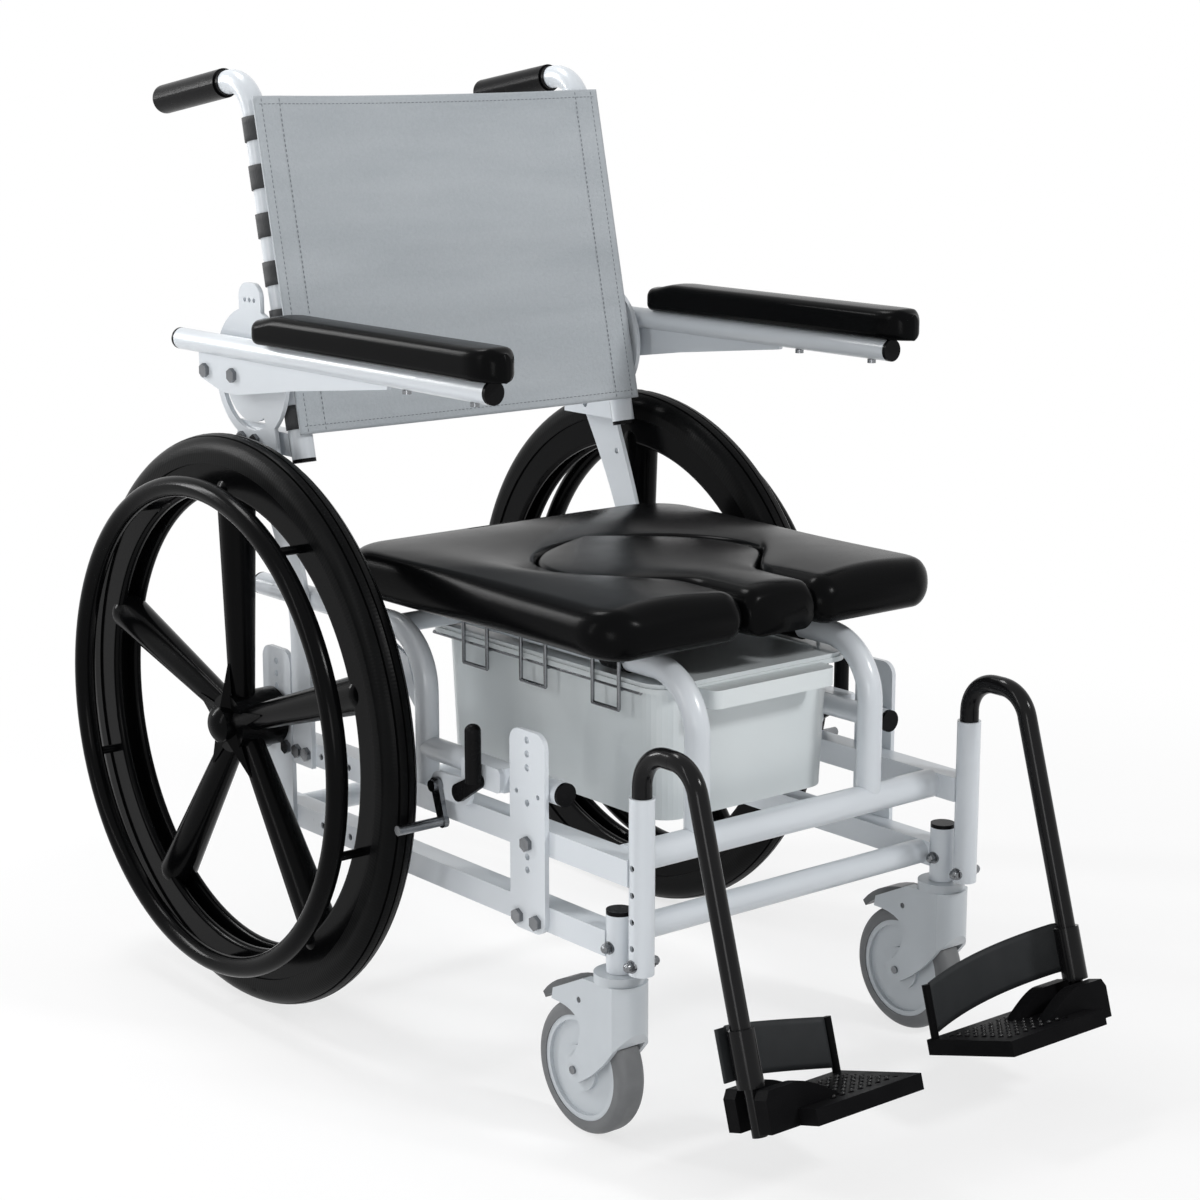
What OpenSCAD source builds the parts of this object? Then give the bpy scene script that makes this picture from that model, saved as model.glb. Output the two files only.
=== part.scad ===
// Self-propelled shower commode chair: tubular frame, swing-up armrests, swing-away footrests,
// swivel casters, wheel locks, keyhole seat with lift-out insert and a drawn-out pan.
// Millimetres, +Z up, the user faces -Y. Sizes along Y are measured from the rear axle.

/* [Rear wheels] */
// Outside diameter of the rear tyre
tyre_d = 610; // [580:1:620]
// Width of the rear tyre
tyre_w = 38; // [32:1:40]
// Height of the tyre over the rim
tyre_h = 30; // [24:1:34]
// Gap between the axle plate and the wheel hub
wheel_gap = 5; // [4:0.5:12]
// Width of the moulded rim
rim_w = 34; // [28:1:36]
// Radial depth of the flat part of the rim
rim_flat = 15; // [12:1:20]
// Radial depth of the rim's side walls
rim_depth = 32; // [28:1:36]
// Thickness of the rim's side walls
rim_lip = 10; // [8:1:12]
// Number of spokes in a rear wheel
spokes = 5; // [4:1:6]
// Diameter of a spoke at the hub
spoke_d_hub = 27; // [24:1:30]
// Diameter of a spoke at the rim
spoke_d_rim = 41; // [34:1:44]
// Radius of the wheel hub
hub_r = 31; // [26:1:34]
// Reach of the hub on the frame side of the wheel's mid-plane
hub_in = 38; // [30:1:40]
// Reach of the hub on the outer side of the wheel's mid-plane
hub_out = 19; // [17:1:24]
// Radius of the wheel axle
axle_r = 6; // [5:0.5:8]
// Diameter of the hub cover's cap
nose_d = 38; // [34:1:44]
// Length of the hub cover's cap
nose_len = 20; // [14:1:20]
// Radius of the hub cover's star points
star_r = 64; // [54:1:72]
// Distance of the handrim's mid-plane from the tyre's mid-plane
handrim_out = 49.5; // [44:0.5:58]
// Radius of the handrim ring at its tube centre
handrim_r = 254.5; // [244:0.5:258]
// Diameter of the handrim tube
handrim_d = 22; // [18:1:24]

/* [Frame] */
// Distance between the centres of the left and right rails
frame_w = 427; // [420:1:430]
// Side of the square rail tube
rail_s = 25; // [22:1:28]
// Wall of all frame tubes
wall = 2; // [1.5:0.5:3]
// Height of the upper rail's centre
rail_hi_z = 272.5; // [265:0.5:280]
// Height of the lower rail's centre
rail_lo_z = 197.5; // [194:0.5:204]
// Rear end of the rails
rail_rear_y = 25; // [10:1:40]
// Diameter of the upper front crossbar
cross_hi_d = 29; // [25:1:32]
// Diameter of the lower crossbars
cross_lo_d = 25; // [22:1:28]
// Setback of the lower front crossbar from the caster stem
cross_lo_back = 20; // [18:1:40]
// Thickness of the bolted plates
plate_t = 5; // [4:0.5:6]
// Diameter of the seat legs and seat tubes
leg_d = 25; // [22:1:26]
// Bend radius of the seat legs
leg_bend = 60; // [45:1:70]
// Distance between the centres of the front seat legs
front_leg_w = 226; // [222:1:240]
// Height of the front seat tubes
seat_tube_z = 432; // [428:1:436]
// Rear end of the front seat tubes
seat_tube_rear_y = -100; // [-140:1:-80]
// Place of the upper front crossbar and the front seat legs
front_leg_y = -546; // [-552:1:-542]
// Place of the rear seat legs
rear_leg_y = -252; // [-262:1:-244]
// Diameter of the rear seat legs
rear_leg_d = 24; // [20:1:25]
// Rear end of the rear seat tubes
rear_tube_y = 50; // [20:1:60]
// Height of the wheel lock tube
lock_tube_z = 320.5; // [316:0.5:326]
// Front end of the wheel lock tube
lock_tube_y = -472; // [-480:1:-468]
// Diameter of the wheel lock tube
lock_tube_d = 23; // [20:1:24]

/* [Plates] */
// Middle of the front accessory plate
front_plate_y = -438; // [-442:1:-434]
// Width of the front accessory plate
front_plate_w = 54; // [48:1:58]
// Top of the front accessory plate
front_plate_top = 378; // [360:1:386]
// Radius of the accessory holes
plate_hole_r = 3.5; // [2.5:0.5:4]
// Pitch of the accessory holes
plate_pitch = 13.5; // [12:0.5:16]
// Width of the axle plate
axle_plate_w = 54; // [46:1:56]
// Top of the axle plate
axle_plate_top = 378; // [350:1:390]
// Width of the foot of the back carrier
carrier_foot_w = 36; // [30:1:40]
// Width of the head of the back carrier
carrier_head_w = 62; // [54:1:66]
// Top of the back carrier
carrier_top = 616; // [610:1:618]

/* [Back] */
// Offset of the back tubes from the centres of the rails
back_shift = 1.5; // [0:0.5:2]
// Diameter of the back tubes
back_d = 25; // [22:1:25]
// Lower end of the back tubes, along Y
back_low_y = -39.5; // [-44:0.5:-36]
// Lower end of the back tubes, along Z
back_low_z = 584; // [580:1:588]
// Recline of the back tubes
back_lean = 12.6; // [10:0.1:14]
// Length of the back tubes up to the handle's bend
back_len = 398; // [380:1:420]
// Fall of the push handles
handle_fall = 8.8; // [4:0.1:12]
// Length of the push handles from the bend
handle_len = 175; // [160:1:190]
// Bend radius of the push handles
handle_bend = 42; // [36:1:48]
// Diameter of the push grips
grip_d = 31; // [29:1:34]
// Length of the push grips
grip_len = 132; // [110:1:140]
// Overhang of the sling beyond the centres of the back tubes
sling_over = 11; // [6:1:12]
// Thickness of the back sling
sling_t = 3; // [2:0.5:4]
// Depth of the sling's sag between the tubes
sling_sag = 14; // [6:1:20]
// Number of straps on each back tube
straps = 7; // [5:1:8]
// Height of a strap
strap_h = 25; // [18:1:30]

/* [Armrests] */
// Gap between the hinge plate and the armrest tube
arm_gap = 7; // [5:0.5:9]
// Diameter of the armrest tube
arm_d = 23; // [20:1:24]
// Height of the armrest tube
arm_z = 697; // [694:1:704]
// Rear end of the armrest tube
arm_rear_y = 131; // [120:1:136]
// Front end of the armrest tube
arm_front_y = -421; // [-440:1:-400]
// Place of the armrest pivot along Y
pivot_y = 26; // [22:1:30]
// Height of the armrest pivot
pivot_z = 668; // [664:1:672]
// Radius of the arc slot round the pivot
slot_r = 55; // [50:1:58]
// Radius of the pivot and slot bolts
arm_bolt_r = 4; // [3:0.5:5]
// Thickness of the armrest gusset
gusset_t = 5; // [4:0.5:6]
// Reach of the gusset in front of the pivot
gusset_len = 282; // [240:1:300]
// Width of the arm pad
pad_w = 46; // [42:1:48]
// Length of the arm pad
pad_len = 404; // [380:1:420]
// Thickness of the arm pad
pad_t = 30; // [24:1:34]
// Rear end of the arm pad
pad_rear_y = -46; // [-60:1:-40]

/* [Seat] */
// Width of the seat
seat_w = 440; // [430:1:446]
// Front edge of the seat
seat_front_y = -544; // [-550:1:-540]
// Rear edge of the seat
seat_rear_y = -96; // [-104:1:-90]
// Underside of the seat
seat_z = 455; // [454:1:460]
// Thickness of the seat at its edge
seat_t = 46; // [40:1:50]
// Rise of the seat's crown over its edge
seat_crown = 6; // [3:1:9]
// Rounding of the seat's edges
seat_round = 18; // [14:1:20]
// Half width of the keyhole's round part
key_a = 122; // [110:1:130]
// Half length of the keyhole's round part
key_b = 112; // [100:1:120]
// Middle of the keyhole's round part
key_y = -348; // [-356:1:-340]
// Half width of the keyhole's front channel
key_neck = 49; // [44:1:54]
// Gap round the seat insert
insert_gap = 0.6; // [0.4:0.1:1.2]

/* [Pan] */
// Width of the pan at its rim
pan_w = 232; // [220:1:236]
// Width of the pan's rim flange
pan_rim_w = 256; // [246:1:257]
// Front of the pan
pan_front_y = -497; // [-502:1:-490]
// Rear of the pan
pan_rear_y = -140; // [-150:1:-130]
// Underside of the pan
pan_z = 277; // [266:1:284]
// Height of the pan
pan_h = 135; // [126:1:136]
// Wall of the pan
pan_wall = 3; // [2.5:0.5:4]
// Corner radius of the pan
pan_round = 28; // [20:1:34]
// Narrowing of the pan's floor on each side
pan_draft = 4; // [2:1:8]
// Diameter of the pan's guide wires
guide_d = 4; // [3:0.5:5]

/* [Casters] */
// Diameter of the caster wheel
caster_d = 130; // [124:1:134]
// Width of the caster tyre
caster_w = 30; // [26:1:31]
// Place of the caster stem along Y
stem_y = -554; // [-557:1:-552]
// Trail of the caster wheel behind its stem
trail = 41; // [36:1:44]
// Radius of the caster stem
stem_r = 8; // [7:0.5:9]
// Diameter of the stem tube
stem_tube_d = 25; // [24:1:26]
// Lower end of the stem tube
stem_tube_z = 170; // [166:1:174]
// Upper end of the stem tube
stem_tube_top = 226; // [222:1:236]
// Width of the caster fork
fork_w = 44; // [42:1:48]
// Radius of the fork's head
fork_head_r = 27; // [25:1:30]

/* [Footrests] */
// Place of the footrest socket along Y
socket_y = -586; // [-590:1:-584]
// Diameter of the footrest socket tube
socket_d = 24; // [23.5:0.5:25]
// Lower end of the footrest socket tube
socket_z = 176; // [172:1:180]
// Upper end of the footrest socket tube
socket_top = 344; // [336:1:350]
// Diameter of the footrest tube
hanger_d = 19; // [17:0.5:19.5]
// Height of the footrest tube's top run
hanger_top = 387.5; // [380:0.5:394]
// Reach of the footrest tube's top run
hanger_reach = 69; // [66:1:74]
// Bend radius of the footrest tube
hanger_bend = 33; // [30:1:35]
// Lean of the footrest tube's leg
leg_lean = 16.5; // [14:0.5:18]
// Length of the leg down to the footplate's top
leg_len = 309; // [296:1:316]
// Diameter of the clamp sleeve on the leg
sleeve_d = 25; // [23:1:28]
// Length of the clamp sleeve
sleeve_len = 52; // [46:1:60]
// Length of the footplate across the chair
foot_w = 130; // [118:1:136]
// Depth of the footplate
foot_l = 112; // [104:1:118]
// Thickness of the footplate
foot_t = 15; // [13:1:18]
// Distance of the footplate hinge from the leg
foot_hinge = 24; // [22:1:28]
// Height of the heel strap
heel_h = 48; // [38:1:52]
// Thickness of the heel strap
heel_t = 2.4; // [2:0.2:3.2]

/* [Wheel locks] */
// Pivot of the lock lever along Y
lever_y = -340; // [-344:1:-336]
// Height of the lock lever's pivot
lever_z = 297; // [294:1:300]
// Pivot of the pin arm along Y
pin_arm_y = -302; // [-304:1:-300]
// Height of the pin arm's pivot
pin_arm_z = 296; // [293:1:299]
// Radius of the lock pin
lock_pin_r = 5; // [4:0.5:5.5]
// Length of the lock pin
lock_pin_len = 52; // [46:1:54]
// Gap between the released lock pin and the tyre
lock_gap = 6; // [5:0.5:8]
// Length of the lever's grip
lever_grip = 58; // [50:1:64]

/* [Fits] */
// Running clearance on radius
run_gap = 0.05; // [0.03:0.01:0.08]
// Clearance at welded and seated round faces
seat_gap = 0.2; // [0.15:0.05:0.3]
// Clearance between pieces that move past each other
move_gap = 0.5; // [0.4:0.1:0.8]

/* [Hidden] */
$fn = 48;

powder = [0.80, 0.83, 0.86];
gloss_black = [0.06, 0.06, 0.07];
rubber = [0.13, 0.13, 0.14];
zinc = [0.62, 0.64, 0.66];
eps = 1;

tyre_r = tyre_d / 2;
axle_z = tyre_r;
rim_r = tyre_r - tyre_h;
rail_x = frame_w / 2;
rail_in = rail_x - rail_s / 2;
rail_out = rail_x + rail_s / 2;
plate_out = rail_out + plate_t;
half_track = plate_out + wheel_gap + hub_in;
front_leg_x = front_leg_w / 2;
leg_r = leg_d / 2;
back_x = rail_x + back_shift;
back_r = back_d / 2;
sling_w = 2 * (back_x + sling_over);
arm_r = arm_d / 2;
hinge_spacer = 1;
hinge_in = plate_out + hinge_spacer;
hinge_out = hinge_in + plate_t;
arm_x = hinge_out + arm_gap + arm_r;
gusset_in = arm_x - gusset_t / 2;
caster_r = caster_d / 2;
caster_y = stem_y + trail;
hanger_r = hanger_d / 2;
stem_tube_r = stem_tube_d / 2;
socket_r = socket_d / 2;
front_leg_cross_y = front_leg_y;
cross_lo_y = stem_y + cross_lo_back;

// The footplate's frame: its top meets the leg's axis at foot_p, it tilts with the leg
foot_p = [socket_y - hanger_reach - leg_len * sin(leg_lean), hanger_top - leg_len * cos(leg_lean)];
foot_front = foot_l * 0.47;
foot_front_y = foot_p[0] - foot_front * cos(leg_lean) - foot_t * sin(leg_lean);
origin_y = -(foot_front_y + tyre_r) / 2;

// The back tubes' line
back_dir = [sin(back_lean), cos(back_lean)];
back_low = [back_low_y, back_low_z];
back_bend = back_low + back_len * back_dir;
handle_dir = [cos(handle_fall), -sin(handle_fall)];
handle_end = back_bend + handle_len * handle_dir;

// Points of a curve from a to b that bows towards c
function bow(a, c, b, n) = [for (i = [0 : n])
    let (t = i / n)
    (1 - t) * (1 - t) * a + 2 * t * (1 - t) * c + t * t * b];

// Moves a profile drawn in Y and Z, extruded along X from x0 to x1
module along_x(x0, x1) {
    translate([x0, 0, 0])
        rotate([90, 0, 90])
            linear_extrude(x1 - x0)
                children();
}

module rod_x(x0, x1, y, z, r) {
    translate([x0, y, z])
        rotate([0, 90, 0])
            cylinder(h = x1 - x0, r = r);
}

module rod_y(x, y0, y1, z, r) {
    translate([x, y1, z])
        rotate([90, 0, 0])
            cylinder(h = y1 - y0, r = r);
}

module rod_z(x, y, z0, z1, r) {
    translate([x, y, z0])
        cylinder(h = z1 - z0, r = r);
}

module both_sides() {
    children();
    mirror([1, 0, 0])
        children();
}

// left is +X, the side that all sided pieces are drawn on
module on_side(left) {
    if (left)
        children();
    else
        mirror([1, 0, 0])
            children();
}

function turn(a, b, c) =
    let (u = b - a, v = c - b)
    atan2(u[0] * v[1] - u[1] * v[0], u[0] * v[0] + u[1] * v[1]);
function unit(v) = v / norm(v);
function cut(pts, i, bend) =
    i <= 0 || i >= len(pts) - 1 ? 0 : bend * tan(abs(turn(pts[i - 1], pts[i], pts[i + 1])) / 2);

// A solid rod of radius r bent along points in the YZ plane, its elbows a hair slimmer than its runs
elbow_slim = 0.1;

module bent_rod(pts, r, bend) {
    rotate([90, 0, 90]) {
        for (i = [0 : len(pts) - 2]) {
            d = unit(pts[i + 1] - pts[i]);
            a = pts[i] + d * cut(pts, i, bend);
            b = pts[i + 1] - d * cut(pts, i + 1, bend);
            translate([a[0], a[1], 0])
                rotate([0, 0, atan2(d[1], d[0])])
                    rotate([0, 90, 0])
                        cylinder(h = norm(b - a), r = r);
        }
        for (i = [1 : 1 : len(pts) - 2]) {
            t = turn(pts[i - 1], pts[i], pts[i + 1]);
            s = sign(t);
            d = unit(pts[i] - pts[i - 1]);
            c = pts[i] - d * cut(pts, i, bend) + s * bend * [-d[1], d[0]];
            from = atan2(d[1], d[0]) - s * 90;
            translate([c[0], c[1], 0])
                rotate([0, 0, s > 0 ? from : from + t])
                    rotate_extrude(angle = abs(t))
                        translate([bend, 0])
                            circle(r - elbow_slim);
        }
    }
}

function grown(pts) =
    let (n = len(pts) - 1)
    [for (i = [0 : n])
        i == 0 ? pts[0] - eps * unit(pts[1] - pts[0]) :
        i == n ? pts[n] + eps * unit(pts[n] - pts[n - 1]) : pts[i]];

module bent_tube(pts, r, bend) {
    difference() {
        bent_rod(pts, r, bend);
        bent_rod(grown(pts), r - wall, bend);
    }
}

module hex_bolt(x0, x1, y, z, r) {
    rod_x(x0, x1, y, z, r);
    translate([x1, y, z])
        rotate([0, 90, 0])
            cylinder(h = r * 1.1, r = r * 1.9, $fn = 6);
}

module in_frame() {
    translate([0, origin_y, 0])
        children();
}

// Rails, crossbars, seat legs and plates

cope = 6;
rail_hole_y = -76;
rail_hole_pitch = 26;

// A square rail whose front end is coped to the round tube that it meets at post_y
module rail(z, post_y, post_r) {
    y_front = post_y + cope;
    difference() {
        translate([rail_in, y_front, z - rail_s / 2])
            cube([rail_s, rail_rear_y - y_front, rail_s]);
        translate([rail_in + wall, y_front - eps, z - rail_s / 2 + wall])
            cube([rail_s - 2 * wall, rail_rear_y - y_front + 2 * eps, rail_s - 2 * wall]);
        rod_z(rail_x, post_y, z - rail_s, z + rail_s, post_r + seat_gap);
        for (i = [0 : 3])
            rod_x(rail_out - wall - eps, rail_out + eps, rail_hole_y - rail_hole_pitch * i, z, plate_hole_r);
    }
}

module side_rails() {
    color(powder) in_frame() both_sides() {
        rail(rail_hi_z, socket_y, socket_r);
        rail(rail_lo_z, stem_y, stem_tube_r);
    }
}

module cross_tube(y, z, r) {
    difference() {
        rod_x(-rail_in, rail_in, y, z, r);
        rod_x(-rail_in - eps, rail_in + eps, y, z, r - wall);
    }
}

module cross_tubes() {
    color(powder) in_frame() {
        cross_tube(front_leg_cross_y, rail_hi_z, cross_hi_d / 2);
        cross_tube(cross_lo_y, rail_lo_z, cross_lo_d / 2);
        cross_tube(0, rail_lo_z, cross_lo_d / 2);
    }
}

stub_y = -185;
stub_r = 10;

module front_seat_legs() {
    color(powder) in_frame() both_sides()
        difference() {
            union() {
                translate([front_leg_x, 0, 0])
                    bent_tube([[front_leg_y, rail_hi_z], [front_leg_y, seat_tube_z],
                               [seat_tube_rear_y, seat_tube_z]], leg_r, leg_bend);
                difference() {
                    rod_x(front_leg_x, rail_x, stub_y, seat_tube_z, stub_r);
                    rod_y(front_leg_x, stub_y - leg_d, stub_y + leg_d, seat_tube_z, leg_r - eps);
                    rod_y(rail_x, stub_y - leg_d, stub_y + leg_d, rear_tube_z,
                          rear_leg_d / 2 + seat_gap);
                }
            }
            rod_x(front_leg_x - leg_d, front_leg_x + leg_d, front_leg_y, rail_hi_z,
                  cross_hi_d / 2 + seat_gap);
        }
}

rear_tube_z = seat_tube_z + 5;

module rear_seat_legs() {
    color(powder) in_frame() both_sides()
        difference() {
            union() {
                translate([rail_x, 0, 0])
                    bent_tube([[rear_leg_y, rail_hi_z + rail_s / 2], [rear_leg_y, rear_tube_z],
                               [rear_tube_y, rear_tube_z]], rear_leg_d / 2, leg_bend);
                // Gusset in the bend
                along_x(rail_x - 2, rail_x + 2)
                    polygon([[rear_leg_y + 6, rear_tube_z - 92], [rear_leg_y + 92, rear_tube_z - 6],
                             [rear_leg_y + 30, rear_tube_z - 30]]);
                // Carrier tube of the wheel lock
                difference() {
                    rod_y(rail_x, lock_tube_y, rear_leg_y, lock_tube_z, lock_tube_d / 2);
                    rod_y(rail_x, lock_tube_y - eps, rear_leg_y + eps, lock_tube_z,
                          lock_tube_d / 2 - wall);
                    rod_z(rail_x, rear_leg_y, lock_tube_z - lock_tube_d, lock_tube_z + lock_tube_d,
                          rear_leg_d / 2 - wall / 2);
                }
            }
        }
}

front_plate_low = rail_lo_z - rail_s / 2 - 4;
plate_corner = 14;

module rounded_plate(y0, y1, z0, z1, r) {
    translate([y0 + r, z0])
        square([y1 - y0 - 2 * r, z1 - z0]);
    translate([y0, z0 + r])
        square([y1 - y0, z1 - z0 - 2 * r]);
    for (y = [y0 + r, y1 - r], z = [z0 + r, z1 - r])
        translate([y, z])
            circle(r);
}

front_hole_z = [for (i = [0 : 2]) front_plate_top - 9 - i * plate_pitch];
lock_screw_dy = 16.5;

module front_plates() {
    color(powder) in_frame() both_sides()
        along_x(rail_out, plate_out)
            difference() {
                rounded_plate(front_plate_y - front_plate_w / 2, front_plate_y + front_plate_w / 2,
                              front_plate_low, front_plate_top, plate_corner);
                for (z = front_hole_z)
                    translate([front_plate_y, z])
                        circle(plate_hole_r);
                for (z = [rail_hi_z + 35, rail_hi_z - 18, rail_hi_z - 31])
                    translate([front_plate_y, z])
                        circle(plate_hole_r);
                for (s = [-1, 1])
                    translate([front_plate_y + s * lock_screw_dy, lock_tube_z - 4])
                        circle(plate_hole_r - 1);
                bolt_holes(front_bolts);
            }
}

bolt_r = 4;
front_bolts = [[front_plate_y, rail_hi_z - 5], [front_plate_y - 14, rail_lo_z - 5],
               [front_plate_y + 14, rail_lo_z - 5]];
axle_bolts = [[-18, rail_hi_z], [18, rail_hi_z], [-18, rail_lo_z], [18, rail_lo_z]];
carrier_foot_y = -axle_plate_w / 2 - carrier_foot_w / 2 - 3;
carrier_bolts = [[carrier_foot_y - 9, rail_hi_z], [carrier_foot_y + 9, rail_hi_z]];

module bolt_holes(places) {
    for (p = places)
        translate(p)
            circle(bolt_r + run_gap);
}

module axle_plates() {
    color(powder) in_frame() both_sides()
        along_x(rail_out, plate_out)
            difference() {
                rounded_plate(-axle_plate_w / 2, axle_plate_w / 2, front_plate_low, axle_plate_top,
                              plate_corner);
                for (i = [0 : 2])
                    translate([0, axle_plate_top - 15 - i * plate_pitch])
                        circle(plate_hole_r);
                translate([0, axle_z])
                    circle(axle_r + run_gap);
                bolt_holes(axle_bolts);
            }
}

hub_inner_x = half_track - hub_in;
hub_outer_x = half_track + hub_out;
axle_head = 5;

module wheel_axles() {
    color(zinc) in_frame() both_sides() {
        rod_x(rail_out - 8, hub_outer_x, 0, axle_z, axle_r);
        // Shoulder washer between the plate and the hub
        difference() {
            rod_x(plate_out, hub_inner_x - 0.3, 0, axle_z, axle_r + axle_head);
            rod_x(plate_out - eps, hub_inner_x, 0, axle_z, axle_r);
        }
    }
}

carrier_bend_z = 392;
carrier_head_y = 0;
function ease(t) = t <= 0 ? 0 : t >= 1 ? 1 : (1 - cos(180 * t)) / 2;
function carrier_rear(z) =
    let (t = (z - carrier_bend_z) / (carrier_top - carrier_bend_z))
    let (foot = carrier_foot_y + carrier_foot_w / 2, head = carrier_head_y + carrier_head_w)
    foot + (head - foot) * ease(t * 0.62) / ease(0.62);
function carrier_front(z) =
    let (t = (z - carrier_bend_z) / (carrier_top - carrier_bend_z))
    carrier_foot_y - carrier_foot_w / 2
        + (carrier_head_y - carrier_foot_y + carrier_foot_w / 2) * ease(t * 0.72) / ease(0.72);
carrier_steps = 10;
carrier_z = [for (i = [0 : carrier_steps])
    carrier_bend_z + (carrier_top - carrier_bend_z) * i / carrier_steps];
bracket_up = 14;
bracket_z = back_low_z + bracket_up;
bracket_bolt_y = 18;
bracket_bolt_pitch = 26;
bracket_bolts = [for (i = [0, 1]) [carrier_head_y + bracket_bolt_y + i * bracket_bolt_pitch, bracket_z]];
carrier_hole_drop = 71;
carrier_hole_y = -14;

module back_carriers() {
    color(powder) in_frame() both_sides()
        along_x(rail_out, plate_out)
            difference() {
                polygon(concat(
                    [[carrier_foot_y + carrier_foot_w / 2, rail_hi_z - rail_s / 2 - 2]],
                    [for (z = carrier_z) [carrier_rear(z), z]],
                    [for (i = [carrier_steps : -1 : 0]) [carrier_front(carrier_z[i]), carrier_z[i]]],
                    [[carrier_foot_y - carrier_foot_w / 2, rail_hi_z - rail_s / 2 - 2]]));
                bolt_holes(carrier_bolts);
                bolt_holes(bracket_bolts);
                translate([carrier_head_y + carrier_hole_y, carrier_top - carrier_hole_drop])
                    circle(plate_hole_r);
            }
}

bracket_h = 24;
bracket_grip = 10;
bracket_rear = 12;

module back_brackets() {
    color(powder) in_frame() both_sides()
        difference() {
            translate([back_x - bracket_grip, back_at(bracket_z)[0], bracket_z - bracket_h / 2])
                cube([rail_out - back_x + bracket_grip,
                      bracket_bolts[1][0] + bracket_rear - back_at(bracket_z)[0], bracket_h]);
            translate([back_x, 0, 0])
                bent_rod([back_low - 20 * back_dir, back_bend], back_r + seat_gap, handle_bend);
            for (p = bracket_bolts)
                rod_x(back_x - 2 * bracket_grip, rail_out + eps, p[0], p[1], bolt_r + run_gap);
        }
}

function back_at(z) = back_low + back_dir * (z - back_low_z) / back_dir[1];

module back_tubes() {
    color(powder) in_frame() both_sides()
        translate([back_x, 0, 0])
            bent_tube([back_low, back_bend, handle_end], back_r, handle_bend);
}

grip_ribs = 6;

module push_grips() {
    color(gloss_black) in_frame() both_sides()
        translate([back_x, handle_end[0], handle_end[1]])
            rotate([90 - handle_fall, 0, 0])
                rotate_extrude()
                    difference() {
                        union() {
                            translate([0, -4])
                                square([grip_d / 2 - 4, 4]);
                            square([grip_d / 2, grip_len - 6]);
                            translate([0, grip_len - 6])
                                square([grip_d / 2 - 2, 6]);
                            translate([grip_d / 2 - 4, 0])
                                circle(4);
                        }
                        square([back_r + seat_gap, grip_len + eps]);
                        translate([-10, -5])
                            square([10, grip_len + 10]);
                    }
}

// Back sling and its straps

sling_gap = 2.8;
sling_low = 24;
sling_high = back_len - 24;
strap_from = sling_low + 7;
strap_to = back_len - handle_bend;
sling_rows = 12;
sling_cols = 14;
function sling_point(i, j, side) =
    let (u = i / sling_cols * 2 - 1,
         s = sling_low + (sling_high - sling_low) * j / sling_rows,
         flat = min(1, abs(u) * sling_w / 2 / (back_x - back_r - 4)),
         sag = sling_sag * (1 - pow(flat, 2.4)) * (0.75 + 0.25 * cos(180 * (j / sling_rows - 0.5))),
         ripple = 1.2 * sin(540 * j / sling_rows) * (1 - flat * flat),
         off = -(back_r + sling_gap + sling_t) + sag + ripple + side * sling_t)
    [u * sling_w / 2, back_low[0] + back_dir[0] * s + back_dir[1] * off,
     back_low[1] + back_dir[1] * s - back_dir[0] * off];

module sheet_solid(cols, rows, points) {
    n = (cols + 1) * (rows + 1);
    function at(i, j, k) = k * n + j * (cols + 1) + i;
    top = [for (j = [0 : rows - 1], i = [0 : cols - 1], h = [0, 1])
        h == 0 ? [at(i, j, 0), at(i, j + 1, 0), at(i + 1, j, 0)]
               : [at(i + 1, j, 0), at(i, j + 1, 0), at(i + 1, j + 1, 0)]];
    bottom = [for (j = [0 : rows - 1], i = [0 : cols - 1], h = [0, 1])
        h == 0 ? [at(i, j, 1), at(i + 1, j, 1), at(i, j + 1, 1)]
               : [at(i + 1, j, 1), at(i + 1, j + 1, 1), at(i, j + 1, 1)]];
    rim = concat([for (i = [0 : cols]) [i, 0]], [for (j = [1 : rows]) [cols, j]],
                 [for (i = [cols - 1 : -1 : 0]) [i, rows]], [for (j = [rows - 1 : -1 : 1]) [0, j]]);
    m = len(rim);
    edge = [for (q = [0 : m - 1], h = [0, 1])
        let (a = rim[q], b = rim[(q + 1) % m])
        h == 0 ? [at(a[0], a[1], 0), at(b[0], b[1], 0), at(a[0], a[1], 1)]
               : [at(b[0], b[1], 0), at(b[0], b[1], 1), at(a[0], a[1], 1)]];
    polyhedron(points, concat(top, bottom, edge));
}

module back_sling() {
    color([0.62, 0.66, 0.69]) in_frame()
        sheet_solid(sling_cols, sling_rows,
                    [for (k = [0, 1], j = [0 : sling_rows], i = [0 : sling_cols]) sling_point(i, j, k)]);
}

strap_t = 1.6;

module sling_straps() {
    color([0.2, 0.21, 0.22]) in_frame() both_sides()
        translate([back_x, back_low[0], back_low[1]])
            rotate([-back_lean, 0, 0])
                for (k = [0 : straps - 1])
                    translate([0, 0, strap_from + k * (strap_to - strap_from - strap_h) / (straps - 1)])
                        difference() {
                            cylinder(h = strap_h, r = back_r + seat_gap + strap_t);
                            translate([0, 0, -eps])
                                cylinder(h = strap_h + 2 * eps, r = back_r + seat_gap);
                        }
}

// Armrests

lobe_w = 42;
lobe_y = pivot_y - 2;
lobe_top = pivot_z + 95;
slot_to = -112;
hinge_low = back_low_z - 4;
spacer_r = 8;

module hinge_outline() {
    front_edge = [lobe_y - lobe_w / 2, lobe_top - 30];
    pivot = [pivot_y, pivot_z];
    translate(pivot)
        circle(slot_r + 14);
    rounded_plate(lobe_y - lobe_w / 2, lobe_y + lobe_w / 2, pivot_z, lobe_top, 16);
    polygon([front_edge, pivot, [pivot_y + slot_r + 5, pivot_z + 28], [lobe_y + lobe_w / 2, lobe_top - 30]]);
    polygon([front_edge, [pivot_y - 50, hinge_low], [pivot_y + 40, hinge_low], pivot]);
}

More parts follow.
